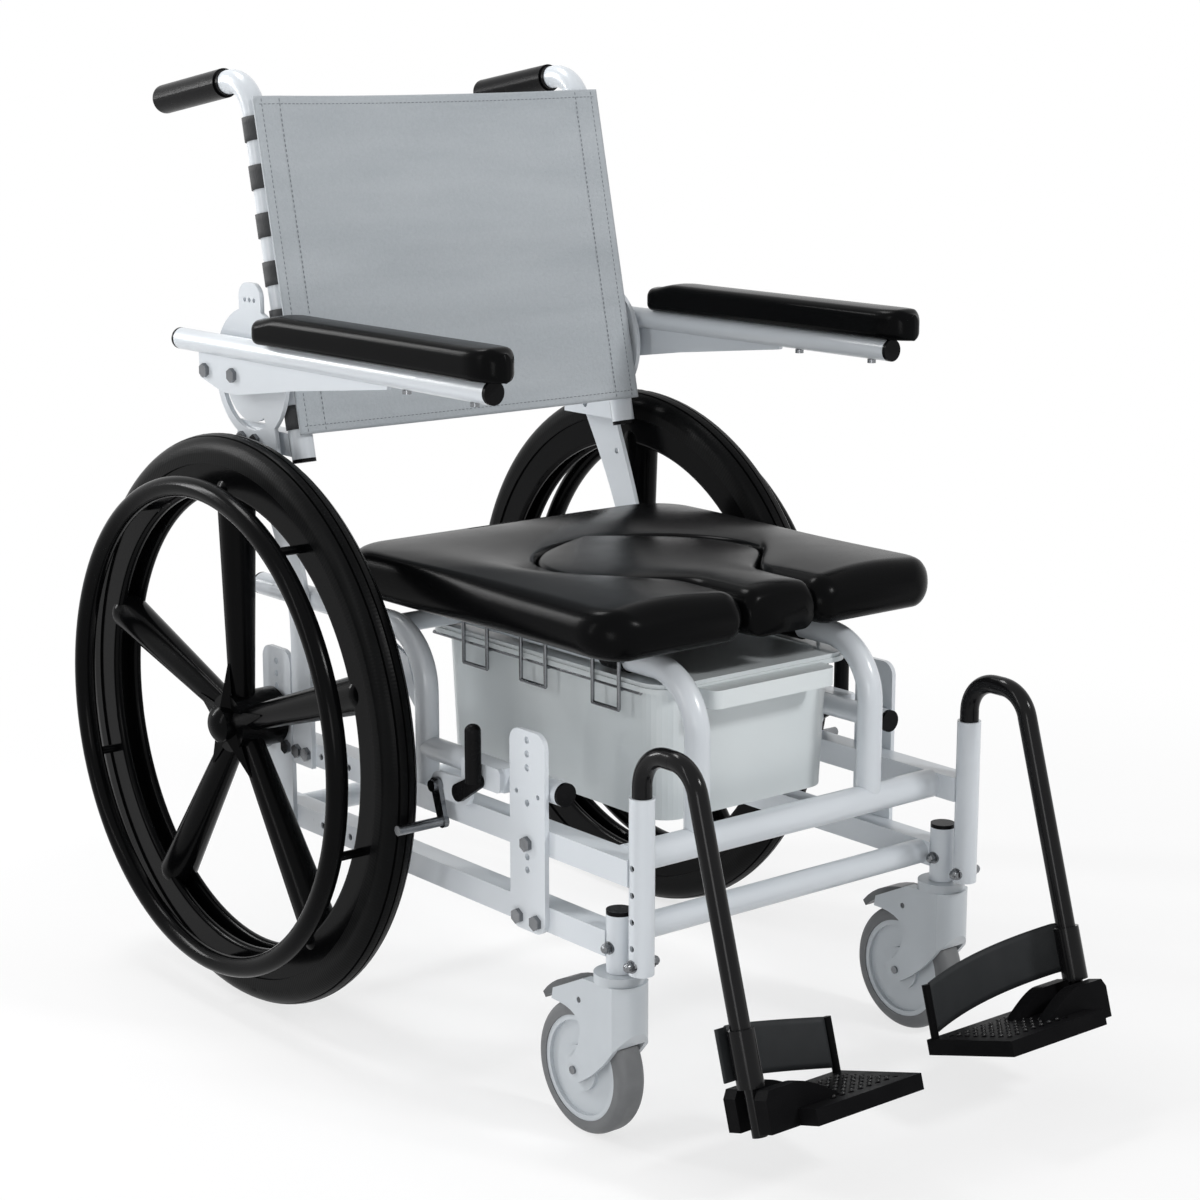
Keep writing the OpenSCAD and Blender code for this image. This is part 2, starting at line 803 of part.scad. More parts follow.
module arc_slot() {
    half = arm_bolt_r + move_gap;
    ease_deg = 7;
    far = 4 * slot_r;
    difference() {
        circle(slot_r + half);
        circle(slot_r - half);
        polygon([[0, 0], far * [cos(ease_deg), sin(ease_deg)], [0, 2 * far], [-2 * far, 0],
                 far * [cos(slot_to - ease_deg), sin(slot_to - ease_deg)]]);
    }
}

module arm_hinge_plates() {
    color(powder) in_frame() both_sides() {
        along_x(hinge_in, hinge_out)
            difference() {
                hinge_outline();
                translate([pivot_y, pivot_z])
                    circle(arm_bolt_r + run_gap);
                translate([pivot_y, pivot_z])
                    arc_slot();
                for (i = [-1 : 1])
                    translate([lobe_y + i * 9, lobe_top - 18])
                        circle(2.5);
                bolt_holes(bracket_bolts);
            }
        // Spacers that hold the plate off the back carrier
        for (p = bracket_bolts)
            difference() {
                rod_x(plate_out, hinge_in, p[0], p[1], spacer_r);
                rod_x(plate_out - eps, hinge_in + eps, p[0], p[1], bolt_r + run_gap);
            }
    }
}

module armrest(left) {
    color(powder) in_frame() on_side(left)
        difference() {
            union() {
                difference() {
                    rod_y(arm_x, arm_front_y, arm_rear_y, arm_z, arm_r);
                    rod_y(arm_x, arm_front_y - eps, arm_rear_y + eps, arm_z, arm_r - wall);
                }
                difference() {
                    along_x(gusset_in, gusset_in + gusset_t)
                        polygon([[pivot_y + slot_r + 14, arm_z], [pivot_y + slot_r + 12, pivot_z - 8],
                                 [pivot_y + 22, pivot_z - 20], [pivot_y - 8, pivot_z - 20],
                                 [pivot_y - 120, pivot_z - 4], [pivot_y - gusset_len, arm_z - arm_r - 3],
                                 [pivot_y - gusset_len - 6, arm_z]]);
                    rod_y(arm_x, arm_front_y, arm_rear_y, arm_z, arm_r - wall / 2);
                }
            }
            for (y = [pivot_y, pivot_y + slot_r])
                rod_x(gusset_in - eps, gusset_in + gusset_t + eps, y, pivot_z, arm_bolt_r + run_gap);
            for (y = pad_screws)
                rod_z(arm_x, y, arm_z - arm_r - eps, arm_z + arm_r + eps, 2.5 + run_gap);
        }
}

pad_screws = [pivot_y - gusset_len - 30, pad_rear_y - pad_len + 55];
pad_z = arm_z + arm_r + seat_gap;

// One closed ring of points round a pad or cushion: half width w, from z0 to z1, edge radius r, crown c
ring_arc = 3;
function pad_ring(y, w, z0, z1, r, c) =
    let (q = min(r, w * 0.98, (z1 - z0) / 2 * 0.98))
    [for (p = concat(
        [for (k = [0 : ring_arc]) let (a = -90 + 90 * k / ring_arc)
            [w - q + q * cos(a), z0 + q + q * sin(a)]],
        [for (k = [0 : ring_arc]) let (a = 90 * k / ring_arc)
            [w - q + q * cos(a), z1 - q + q * sin(a)]],
        [for (u = [0.55, 0, -0.55]) [u * (w - q), z1]],
        [for (k = [0 : ring_arc]) let (a = 90 + 90 * k / ring_arc)
            [-w + q + q * cos(a), z1 - q + q * sin(a)]],
        [for (k = [0 : ring_arc]) let (a = 180 + 90 * k / ring_arc)
            [-w + q + q * cos(a), z0 + q + q * sin(a)]]))
        [p[0], y, p[1] + (p[1] > (z0 + z1) / 2 ? c * (1 - pow(p[0] / w, 2)) : 0)]];

// Closed skin over rings of equal length, with flat ends
module ring_loft(rings) {
    m = len(rings[0]);
    n = len(rings);
    pts = [for (ring = rings, p = ring) p];
    side = [for (j = [0 : n - 2], i = [0 : m - 1], h = [0, 1])
        let (a = j * m + i, b = j * m + (i + 1) % m)
        h == 0 ? [a, a + m, b] : [b, a + m, b + m]];
    ends = concat([for (i = [1 : m - 2]) [0, i, i + 1]],
                  [for (i = [1 : m - 2]) [(n - 1) * m, (n - 1) * m + i + 1, (n - 1) * m + i]]);
    polyhedron(pts, concat(side, ends));
}

pad_round = 7;
pad_side_gap = 0.7;
pad_steps = 16;
function pad_half(t) =
    let (e = min(t, 1 - t) * pad_len)
    pad_w / 2 - 1.2 * sin(180 * t) - (e < 14 ? 14 - sqrt(max(0, 196 - pow(14 - e, 2))) : 0);
function pad_stations(n) = [for (i = [0 : n]) (1 - cos(180 * (i + 0.35) / (n + 0.7))) / 2];

module arm_pad(left) {
    color(gloss_black) in_frame() on_side(left)
        translate([hinge_out + pad_side_gap + pad_w / 2, 0, 0])
            ring_loft([for (t = pad_stations(pad_steps))
                pad_ring(pad_rear_y - pad_len * t, pad_half(t), pad_z,
                         pad_z + pad_t - (t < 0.12 ? 7 * (1 - ease(t / 0.12)) : 0)
                             - (t > 0.97 ? 5 * ease((t - 0.97) / 0.03) : 0), pad_round, 2)]);
}

module arm_bolts(left) {
    color(zinc) in_frame() on_side(left) {
        for (y = [pivot_y, pivot_y + slot_r]) {
            hex_bolt(hinge_in - 5, gusset_in + gusset_t, y, pivot_z, arm_bolt_r);
            difference() {
                rod_x(hinge_out + seat_gap, gusset_in, y, pivot_z, arm_bolt_r * 1.8);
                rod_x(hinge_out, gusset_in + eps, y, pivot_z, arm_bolt_r);
            }
            difference() {
                rod_x(hinge_in - 4.5, hinge_in - 0.3, y, pivot_z, arm_bolt_r * 1.7);
                rod_x(hinge_in - 6, hinge_in, y, pivot_z, arm_bolt_r);
            }
        }
        for (y = pad_screws) {
            rod_z(arm_x, y, arm_z - arm_r - 4, pad_z - 0.1, 2.5);
            rod_z(arm_x, y, arm_z - arm_r - 4, arm_z - arm_r - seat_gap, 4.5);
        }
    }
}

module arm_plugs(left) {
    color(gloss_black) in_frame() on_side(left) {
        rod_y(arm_x, arm_front_y - plug_t, arm_front_y, arm_z, arm_r);
        rod_y(arm_x, arm_rear_y, arm_rear_y + plug_t, arm_z, arm_r);
    }
}

// Front sockets: caster stem tubes and footrest sockets

socket_pitch = 25.5;

module front_sockets() {
    color(powder) in_frame() both_sides() {
        difference() {
            rod_z(rail_x, stem_y, stem_tube_z, stem_tube_top, stem_tube_r);
            rod_z(rail_x, stem_y, stem_tube_z - eps, stem_tube_top + eps, stem_r + run_gap);
        }
        difference() {
            rod_z(rail_x, socket_y, socket_z, socket_top, socket_r);
            rod_z(rail_x, socket_y, socket_z - eps, socket_top + eps, hanger_r + run_gap);
            for (i = [0 : 3])
                rod_x(rail_x, rail_x + socket_r + eps, socket_y, socket_top - 65 - i * socket_pitch,
                      plate_hole_r - 0.5);
        }
    }
}

plug_t = 4;

module tube_plugs() {
    color(gloss_black) in_frame() both_sides() {
        rod_z(rail_x, stem_y, stem_tube_top, stem_tube_top + plug_t, stem_tube_r);
        rod_y(rail_x, lock_tube_y - plug_t, lock_tube_y, lock_tube_z, lock_tube_d / 2);
        rod_y(rail_x, rear_tube_y, rear_tube_y + plug_t - 1, rear_tube_z, rear_leg_d / 2);
        rod_y(front_leg_x, seat_tube_rear_y, seat_tube_rear_y + plug_t, seat_tube_z, leg_r);
        translate([back_x, 0, 0])
            bent_rod([back_low - plug_t * back_dir, back_low], back_r, 0);
        for (z = [rail_hi_z, rail_lo_z])
            translate([rail_in, rail_rear_y, z - rail_s / 2])
                cube([rail_s, plug_t, rail_s]);
    }
}

module frame_bolts() {
    color(zinc) in_frame() both_sides() {
        for (p = concat(front_bolts, axle_bolts, carrier_bolts))
            hex_bolt(rail_out, plate_out, p[0], p[1], bolt_r);
        for (p = bracket_bolts)
            hex_bolt(rail_out - 12, hinge_out, p[0], p[1], bolt_r);
    }
}

// Wheel locks

lock_x = plate_out;
lock_plate_t = 5;
lock_arm_x = lock_x + lock_plate_t + 0.4;
lock_pivot_r = 3.5;
lever_t = 5;
lock_pin_z = pin_arm_z - 34;
tyre_at_pin = sqrt(tyre_r * tyre_r - pow(lock_pin_z - axle_z, 2));
lock_pin_y = -tyre_at_pin - lock_gap - lock_pin_r;

module lock_brackets() {
    color(powder) in_frame() both_sides() {
        along_x(lock_x, lock_x + lock_plate_t)
            difference() {
                union() {
                    translate([pin_arm_y, pin_arm_z])
                        circle(13);
                    translate([lever_y, lever_z])
                        circle(14);
                    polygon([[pin_arm_y, pin_arm_z - 13], [pin_arm_y, pin_arm_z + 13],
                             [lever_y, lever_z + 14], [lever_y, lever_z - 14]]);
                    rounded_plate(lever_y - 62, lever_y, lock_tube_z - 12, lock_tube_z + 12, 5);
                }
                translate([pin_arm_y, pin_arm_z])
                    circle(lock_pivot_r + run_gap);
                translate([lever_y, lever_z])
                    circle(lock_pivot_r + run_gap);
            }
        // Saddle that clamps the bracket to the carrier tube
        difference() {
            translate([rail_x, lever_y - 62, lock_tube_z - 12])
                cube([lock_x - rail_x, 50, 24]);
            rod_y(rail_x, lever_y - 70, lever_y, lock_tube_z, lock_tube_d / 2 + seat_gap);
        }
    }
}

lever_top = [lever_y - 31, lever_z + 18];

module lock_lever(left) {
    color(gloss_black) in_frame() on_side(left) {
        along_x(lock_arm_x, lock_arm_x + lever_t)
            union() {
                translate([lever_y, lever_z])
                    circle(9);
                translate(lever_top)
                    circle(7);
                polygon([[lever_y - 4, lever_z - 8], [lever_y + 3, lever_z + 8.5],
                         [lever_top[0] + 4, lever_top[1] + 6], [lever_top[0] - 4, lever_top[1] - 6]]);
            }
        translate([lock_x + lock_plate_t + 8 + move_gap, lever_top[0], lever_top[1]])
            rotate_extrude()
                difference() {
                    union() {
                        square([8, lever_grip - 7]);
                        translate([1, lever_grip - 7])
                            circle(7);
                        square([1, lever_grip]);
                    }
                    translate([-10, -10])
                        square([10, lever_grip + 30]);
                }
        rod_x(lock_x + 0.3, lock_arm_x, lever_y, lever_z, lock_pivot_r);
    }
}

module lock_pin(left) {
    color(zinc) in_frame() on_side(left) {
        along_x(lock_arm_x, lock_arm_x + lever_t)
            union() {
                translate([pin_arm_y, pin_arm_z])
                    circle(8);
                translate([lock_pin_y, lock_pin_z])
                    circle(lock_pin_r + 2);
                polygon([[pin_arm_y + 7, pin_arm_z], [pin_arm_y - 7, pin_arm_z],
                         [lock_pin_y - 6, lock_pin_z], [lock_pin_y + 6, lock_pin_z]]);
            }
        rod_x(lock_arm_x, lock_arm_x + lock_pin_len + lever_t, lock_pin_y, lock_pin_z, lock_pin_r);
        rod_x(lock_x + 0.3, lock_arm_x, pin_arm_y, pin_arm_z, lock_pivot_r);
        rod_x(lock_arm_x + lever_t, lock_arm_x + lever_t + 4, pin_arm_y, pin_arm_z, 6);
    }
}

// Rear wheels

module about_axle() {
    in_frame()
        translate([half_track, 0, axle_z])
            rotate([90, 0, 90])
                children();
}

// A tapered round spoke that ends in a rounded shoulder on the rim
module spoke() {
    r0 = hub_r - 8;
    r1 = rim_r - rim_depth + 4;
    translate([0, r0, 0])
        rotate([-90, 0, 0])
            cylinder(h = r1 - r0, r1 = spoke_d_hub / 2, r2 = spoke_d_rim / 2);
    translate([0, r1, 0])
        sphere(spoke_d_rim / 2);
}

// Flat tyre seat with two side walls, so that the rim is a channel inside
module rim_section() {
    translate([rim_r - rim_flat, -rim_w / 2])
        square([rim_flat, rim_w]);
    for (s = [-1, 1])
        translate([rim_r - rim_depth + rim_lip / 2, s * (rim_w - rim_lip) / 2]) {
            translate([0, -rim_lip / 2])
                square([rim_depth - rim_flat, rim_lip]);
            circle(rim_lip / 2);
        }
}

module wheel(left) {
    color(gloss_black) on_side(left) about_axle()
        difference() {
            union() {
                rotate_extrude($fn = 96)
                    rim_section();
                for (i = [0 : spokes - 1])
                    rotate([0, 0, i * 360 / spokes])
                        spoke();
                translate([0, 0, -hub_in])
                    cylinder(h = hub_in + hub_out, r = hub_r);
            }
            translate([0, 0, -hub_in - eps])
                cylinder(h = hub_in + hub_out + 2 * eps, r = axle_r + run_gap);
        }
}

tread_grooves = [-9, 0, 9];

module tyre(left) {
    color(rubber) on_side(left) about_axle()
        rotate_extrude($fn = 96)
            difference() {
                union() {
                    translate([rim_r + run_gap, -tyre_w / 2])
                        square([tyre_h - tyre_w / 2 - run_gap, tyre_w]);
                    translate([tyre_r - tyre_w / 2, 0])
                        intersection() {
                            circle(tyre_w / 2);
                            translate([-tyre_h + tyre_w / 2 + run_gap, -tyre_w])
                                square([tyre_h, 2 * tyre_w]);
                        }
                }
                for (x = tread_grooves)
                    translate([tyre_r - (x == 0 ? 2 : 4.2), x - 1])
                        square([6, 2]);
            }
}

post_r = 4.5;
post_shift = 6;

module handrim(left) {
    color(gloss_black) on_side(left) about_axle() {
        rotate_extrude($fn = 96)
            translate([handrim_r, handrim_out])
                circle(handrim_d / 2);
        for (i = [0 : spokes - 1])
            rotate([0, 0, (i + 0.5) * 360 / spokes])
                translate([0, handrim_r + post_shift, rim_w / 2])
                    cylinder(h = handrim_out - rim_w / 2, r = post_r);
    }
}

star_t = 13;
star_dip = 3;
star_seat = hub_out - spoke_d_hub / 2 - 1.8;
nose_rise = 8;
nose_dome = (nose_d * nose_d / 4 + nose_rise * nose_rise) / (2 * nose_rise);

// A cap with five ridged points that lie on the spokes
module hub_cover(left) {
    color(gloss_black) on_side(left) about_axle()
        translate([0, 0, hub_out]) {
            difference() {
                for (i = [0 : spokes - 1])
                    rotate([0, 0, i * 360 / spokes])
                        rotate([-90 - star_dip, 0, 0])
                            cylinder(h = star_r, r1 = star_t, r2 = 1, $fn = 4);
                translate([0, 0, -star_r])
                    cylinder(h = star_r, r = hub_r + move_gap);
                translate([0, 0, -star_r - star_seat])
                    cylinder(h = star_r, r = 2 * star_r);
            }
            intersection() {
                translate([0, 0, nose_len - nose_dome])
                    sphere(nose_dome);
                cylinder(h = nose_d, r = nose_d / 2);
            }
        }
}

// Casters

fork_top = stem_tube_z - 0.3;
fork_cavity_w = caster_w + 3;
pedal_y = caster_y - 8;
pedal_z = caster_r + 72;

// The fork's side: a swept leg from the axle to the head, with a housing for the pedal behind
module fork_outline() {
    front = stem_y - fork_head_r;
    neck = [caster_y - 9, caster_r + 35];
    translate([caster_y, caster_r])
        circle(13);
    polygon(concat(
        bow([caster_y - 8, caster_r - 10], [caster_y - 45, caster_r + 12], [front, caster_r + 50], 8),
        [[front, fork_top - 8], [stem_y + fork_head_r, fork_top - 10], [caster_y + 31, fork_top - 32]],
        bow([caster_y + 33, fork_top - 43], [caster_y - 16, fork_top - 42], neck, 8),
        bow(neck + [0.5, -2], [caster_y - 4, caster_r + 16], [caster_y + 11, caster_r + 6.5], 5)));
}

module caster_fork(left) {
    color([0.84, 0.86, 0.88]) in_frame() on_side(left)
        difference() {
            union() {
                intersection() {
                    along_x(rail_x - fork_w / 2, rail_x + fork_w / 2)
                        fork_outline();
                    union() {
                        rod_z(rail_x, stem_y, 0, fork_top, fork_head_r);
                        translate([rail_x - fork_w / 2, stem_y, 0])
                            cube([fork_w, 120, fork_top]);
                    }
                }
                rod_z(rail_x, stem_y, fork_top - 9, fork_top, fork_head_r - 3);
            }
            rod_x(rail_x - fork_cavity_w / 2, rail_x + fork_cavity_w / 2, caster_y, caster_r,
                  caster_r + 4);
            translate([rail_x - pedal_w / 2 - move_gap, pedal_y - 12, caster_r])
                cube([pedal_w + 2 * move_gap, 90, fork_top - 9.5 - caster_r]);
            rod_x(rail_x - fork_w, rail_x + fork_w, caster_y, caster_r, caster_axle_r);
            rod_x(rail_x - fork_w, rail_x + fork_w, pedal_y, pedal_z, pedal_pin_r + run_gap);
            rod_z(rail_x, stem_y, caster_r, fork_top + eps, stem_r);
        }
}

caster_axle_r = 4;
pedal_pin_r = 3;

module caster_stem(left) {
    color(zinc) in_frame() on_side(left) {
        rod_z(rail_x, stem_y, caster_r + sqrt(pow(caster_r + 4, 2) - trail * trail) + 6,
              stem_tube_top - 8, stem_r);
        rod_x(rail_x - fork_w / 2 - 2, rail_x + fork_w / 2 + 2, caster_y, caster_r, caster_axle_r);
    }
}

module caster_wheel(left) {
    color([0.82, 0.84, 0.86]) in_frame() on_side(left)
        translate([rail_x, caster_y, caster_r])
            rotate([90, 0, 90])
                rotate_extrude($fn = 72) {
                    difference() {
                        translate([caster_axle_r + run_gap, -caster_w / 2 + 1])
                            square([caster_r - 14 - caster_axle_r - run_gap, caster_w - 2]);
                        for (s = [-1, 1])
                            translate([22, s * (caster_w / 2) - 5])
                                square([caster_r - 14 - 22 - 5, 10]);
                    }
                }
}

module caster_tyre(left) {
    color([0.42, 0.43, 0.45]) in_frame() on_side(left)
        translate([rail_x, caster_y, caster_r])
            rotate([90, 0, 90])
                rotate_extrude($fn = 72)
                    difference() {
                        union() {
                            translate([caster_r - 14 + run_gap, -caster_w / 2])
                                square([14 - 9 - run_gap, caster_w]);
                            for (s = [-1, 1])
                                translate([caster_r - 9, s * (caster_w / 2 - 9)])
                                    circle(9);
                            translate([caster_r - 9, -caster_w / 2 + 9])
                                square([9, caster_w - 18]);
                        }
                        translate([0, -caster_w])
                            square([caster_r - 14 + run_gap, 2 * caster_w]);
                    }
}

pedal_w = 22;

module caster_pedal(left) {
    color([0.36, 0.37, 0.39]) in_frame() on_side(left) {
        along_x(rail_x - pedal_w / 2, rail_x + pedal_w / 2)
            difference() {
                union() {
                    translate([pedal_y, pedal_z])
                        circle(6.5);
                    polygon(concat(
                        [[pedal_y, pedal_z - 5], [pedal_y - 7, pedal_z], [pedal_y - 5, pedal_z + 15]],
                        bow([pedal_y + 16, pedal_z + 14], [pedal_y + 50, pedal_z + 8],
                            [pedal_y + 68, pedal_z - 14], 6),
                        bow([pedal_y + 64, pedal_z - 19], [pedal_y + 48, pedal_z - 2],
                            [pedal_y + 16, pedal_z - 1], 6)));
                }
            }
        rod_x(rail_x - fork_w / 2 + 1, rail_x + fork_w / 2 - 1, pedal_y, pedal_z, pedal_pin_r);
    }
}

// Footrests

sleeve_z = 24;
leg_pin_r = 7;
leg_pin_low = 20;
hanger_pts = [[socket_y, socket_top - 130], [socket_y, hanger_top], [socket_y - hanger_reach, hanger_top],
              foot_p + (sleeve_z + 4) * [sin(leg_lean), cos(leg_lean)]];

// Draws in the footplate's frame: X across, Y to the heel, Z along the leg
module on_footplate() {
    translate([rail_x, foot_p[0], foot_p[1]])
        rotate([-leg_lean, 0, 0])
            children();
}

lug_w = 18;
cheek_in = sleeve_d / 2 + move_gap;
cheek_h = 23;
cheek_run = 52;
cheek_w = 16;
foot_pin_r = 4;
foot_pin_z = 4;

module hanger(left) {
    color(gloss_black) in_frame() on_side(left)
        difference() {
            union() {
                translate([rail_x, 0, 0])
                    bent_rod(hanger_pts, hanger_r, hanger_bend);
                // Clamp sleeve with its hinge lug
                on_footplate() {
                    translate([0, 0, sleeve_z])
                        cylinder(h = sleeve_len, r = sleeve_d / 2);
                    translate([0, 0, -leg_pin_low])
                        cylinder(h = leg_pin_low + sleeve_z + 1, r = leg_pin_r);
                    translate([-foot_hinge, -lug_w / 2, foot_pin_z - 8])
                        cube([foot_hinge, lug_w, 16]);
                    translate([-foot_hinge, lug_w / 2, foot_pin_z])
                        rotate([90, 0, 0])
                            cylinder(h = lug_w, r = 8);
                }
            }
            translate([rail_x, 0, 0])
                bent_rod(grown(hanger_pts), hanger_r - wall, hanger_bend);
            on_footplate()
                translate([-foot_hinge, lug_w, foot_pin_z])
                    rotate([90, 0, 0])
                        cylinder(h = 2 * lug_w, r = foot_pin_r + run_gap);
        }
}

grid_pitch = 11;
grid_edge = 16;

// Side of a hinge cheek: upright at the leg, running out on the tread
module cheek_outline() {
    polygon(concat([[10, -foot_t], [10, cheek_h - 8], [5, cheek_h]],
        bow([-foot_hinge - 4, cheek_h], [-foot_hinge - 18, cheek_h], [-foot_hinge - cheek_run, 0], 8),
        [[-foot_hinge - cheek_run, -foot_t]]));
}

module footplate(left) {
    color(gloss_black) in_frame() on_side(left)
        on_footplate() {
            difference() {
                translate([-foot_hinge - foot_w, -foot_front, -foot_t])
                    cube([foot_w, foot_l, foot_t]);
                // Underside hollow
                translate([-foot_hinge - foot_w + 4, -foot_front + 4, -foot_t - eps])
                    cube([foot_w - 24, foot_l - 8, foot_t - 4 + eps]);
                // Drain holes in the tread
                for (i = [0 : 7], j = [0 : 7])
                    translate([-foot_hinge - foot_w + grid_edge + i * grid_pitch,
                               -foot_front + grid_edge + 1.5 + j * grid_pitch, -foot_t])
                        cylinder(h = foot_t + eps, r = 3, $fn = 16);
                // Room for the hinge lug
                translate([-foot_hinge - 10, -cheek_in, -foot_t - eps])
                    cube([40, 2 * cheek_in, 3 * foot_t]);
            }
            for (s = [-1, 1])
                difference() {
                    translate([0, s * (cheek_in + cheek_w / 2) + cheek_w / 2, 0])
                        rotate([90, 0, 0])
                            linear_extrude(cheek_w)
                                cheek_outline();
                    translate([0, 0, -foot_t - eps])
                        cylinder(h = foot_t * 4, r = sleeve_d / 2 + move_gap);
                }
            // Hinge pin
            translate([-foot_hinge, cheek_in + cheek_w / 2, foot_pin_z])
                rotate([90, 0, 0])
                    cylinder(h = 2 * cheek_in + cheek_w, r = foot_pin_r);
            // Post of the heel strap
            translate([heel_post[0], heel_post[1], -1])
                cylinder(h = heel_h + 5, r = 4);
        }
}

heel_post = [-foot_hinge - foot_w + 6, foot_l - foot_front - 6];
heel_post_r = 4;
heel_from = [6, sleeve_d / 2 + 0.3];
heel_tail = [17, sleeve_d / 2 + 0.8];
heel_rise = 22;
heel_low = [4, 31];
heel_steps = 16;
function heel_path(i) =
    let (t = i / heel_steps, c = heel_post + (heel_post_r + 0.4) * unit(heel_from - heel_post))
    i < 0 ? heel_tail : heel_from + (c - heel_from) * t
        + heel_rise * 4 * t * (1 - t) * unit([heel_from[1] - c[1], c[0] - heel_from[0]]) * -1;
function heel_z(x) = heel_low[1] + (heel_low[0] - heel_low[1]) * min(1, max(0, x / heel_post[0]));

module heel_strap(left) {
    cols = heel_steps + 1;
    color([0.2, 0.21, 0.22]) in_frame() on_side(left) on_footplate()
        sheet_solid(cols, 2, [for (k = [0, 1], j = [0 : 2], i = [0 : cols])
            let (p = heel_path(i - 1))
            [p[0], p[1] + k * heel_t, heel_z(p[0]) + heel_h * j / 2]]);
}

// Seat

seat_top = seat_z + seat_t;

// Half width of the keyhole along Y in front of its round part, g inside the edge
function key_half(y, g) =
    let (t = ease((key_y - y - 16) / (key_b * 0.95)))
    (key_a * 0.99 - g) * (1 - t) + (key_neck - g) * t;

// Stations of the keyhole's edge from the front to its rear tip, shared by the cushion and the insert
key_angles = [-8, 10, 25, 40, 54, 66, 76, 84, 90];
neck_steps = 8;
neck_from = seat_front_y + 22;
neck_to = key_y - key_b * 0.28;
function key_point(i, g) =
    let (y = neck_from + (neck_to - neck_from) * i / (neck_steps - 1), a = key_angles[i - neck_steps])
    i < neck_steps ? [key_half(y, g), y] : [(key_a - g) * cos(a), key_y + (key_b - g) * sin(a)];
key_last = neck_steps + len(key_angles) - 1;

insert_front = seat_front_y + 3;
insert_nose = 16;
function nose_drop(e) = e < insert_nose ? insert_nose - sqrt(max(0, e * (2 * insert_nose - e))) : 0;
insert_plan = concat(
    [for (e = [0.6, 2.5, 6, 11])
        [key_neck - insert_gap - nose_drop(e) * 0.4, insert_front + e, nose_drop(e)]],
    [for (i = [0 : key_last - 1]) concat(key_point(i, insert_gap), [0])]);

module seat_insert() {
    color(gloss_black) in_frame()
        ring_loft([for (i = [len(insert_plan) - 1 : -1 : 0])
            let (p = insert_plan[i])
            pad_ring(p[1], p[0], seat_z + 2, seat_top - 1 - p[2], 8, seat_crown)]);
}

seat_arc = 4;
// Section of the cushion between an inner and an outer plan point, f shrinks it towards its middle
function seat_ring(inner, outer, f) =
    let (w = norm(outer - inner), d = (outer - inner) / w, q = seat_round * f,
         mid = seat_z + seat_t / 2, h = seat_t / 2 * f, qi = min(6, h * 0.9), qo = min(q, h * 0.9),
         list = concat(
            [for (k = [0 : seat_arc]) let (a = 180 + 90 * k / seat_arc)
                [qi + qi * cos(a), mid - h + qi + qi * sin(a)]],
            [for (k = [0 : seat_arc]) let (a = -90 + 90 * k / seat_arc)
                [w - qo + qo * cos(a), mid - h + qo + qo * sin(a)]],
            [for (k = [0 : seat_arc]) let (a = 90 * k / seat_arc)
                [w - qo + qo * cos(a), mid + h - qo + qo * sin(a)]],
            [for (u = [0.72, 0.5, 0.28]) [u * w, mid + h + seat_crown * f * sin(180 * u)]],
            [for (k = [0 : seat_arc]) let (a = 90 + 90 * k / seat_arc)
                [qi + qi * cos(a), mid + h - qi + qi * sin(a)]]))
    [for (p = list) [inner[0] + d[0] * p[0], inner[1] + d[1] * p[0], p[1]]];

// Plan points of the right half, from the front lobe round to the middle of the rear edge
seat_corner = 46;
seat_x = seat_w / 2;
function outer_at(t) =
    let (side = seat_rear_y - seat_front_y - 22 - seat_corner, arc = seat_corner * PI / 2,
         rear = seat_x - seat_corner, l = t * (side + arc + rear), pull = 3)
    l < side ? [seat_x - pull * sin(180 * l / side), seat_front_y + 22 + l] :
    l < side + arc ? let (a = (l - side) / arc * 90)
        [seat_x - seat_corner + seat_corner * cos(a), seat_rear_y - seat_corner + seat_corner * sin(a)] :
    [seat_x - seat_corner - (l - side - arc), seat_rear_y];
lobe_angles = [14, 40, 66];
function lobe_ring(a) =
    let (y = seat_front_y + 22 - 22 * cos(a), s = 22 * (1 - sin(a)))
    [[key_neck + s, y], [seat_x - s * 1.3, y], 0.35 + 0.65 * sin(a)];

module seat_cushion() {
    right = concat([for (a = lobe_angles) lobe_ring(a)],
                   [for (i = [0 : key_last]) [key_point(i, 0), outer_at(i / key_last), 1]]);
    n = len(right);
    left = [for (i = [n - 2 : -1 : 0])
        [[-right[i][0][0], right[i][0][1]], [-right[i][1][0], right[i][1][1]], right[i][2]]];
    color(gloss_black) in_frame()
        ring_loft([for (s = concat(right, left)) seat_ring(s[0], s[1], s[2])]);
}

clip_w = 34;
clip_t = 1.8;
clip_rear = 60;
clip_front = 111;
clip_y = [seat_rear_y - clip_rear, seat_front_y + clip_front];

module seat_clips() {
    color(gloss_black) in_frame() both_sides()
        for (y = clip_y)
            difference() {
                union() {
                    rod_y(front_leg_x, y - clip_w / 2, y + clip_w / 2, seat_tube_z, leg_r + clip_t);
                    translate([front_leg_x - leg_r, y - clip_w / 2, seat_tube_z])
                        cube([leg_d, clip_w, seat_z - seat_tube_z]);
                }
                rod_y(front_leg_x, y - clip_w, y + clip_w, seat_tube_z, leg_r + seat_gap);
            }
}

// Pan and its guides

pan_x = pan_w / 2;
pan_top = pan_z + pan_h;
rim_t = 5;
lid_t = 4;
lip_x = 80;
lip_out = 36;
lip_h = 18;
rim_z = pan_top - rim_t;

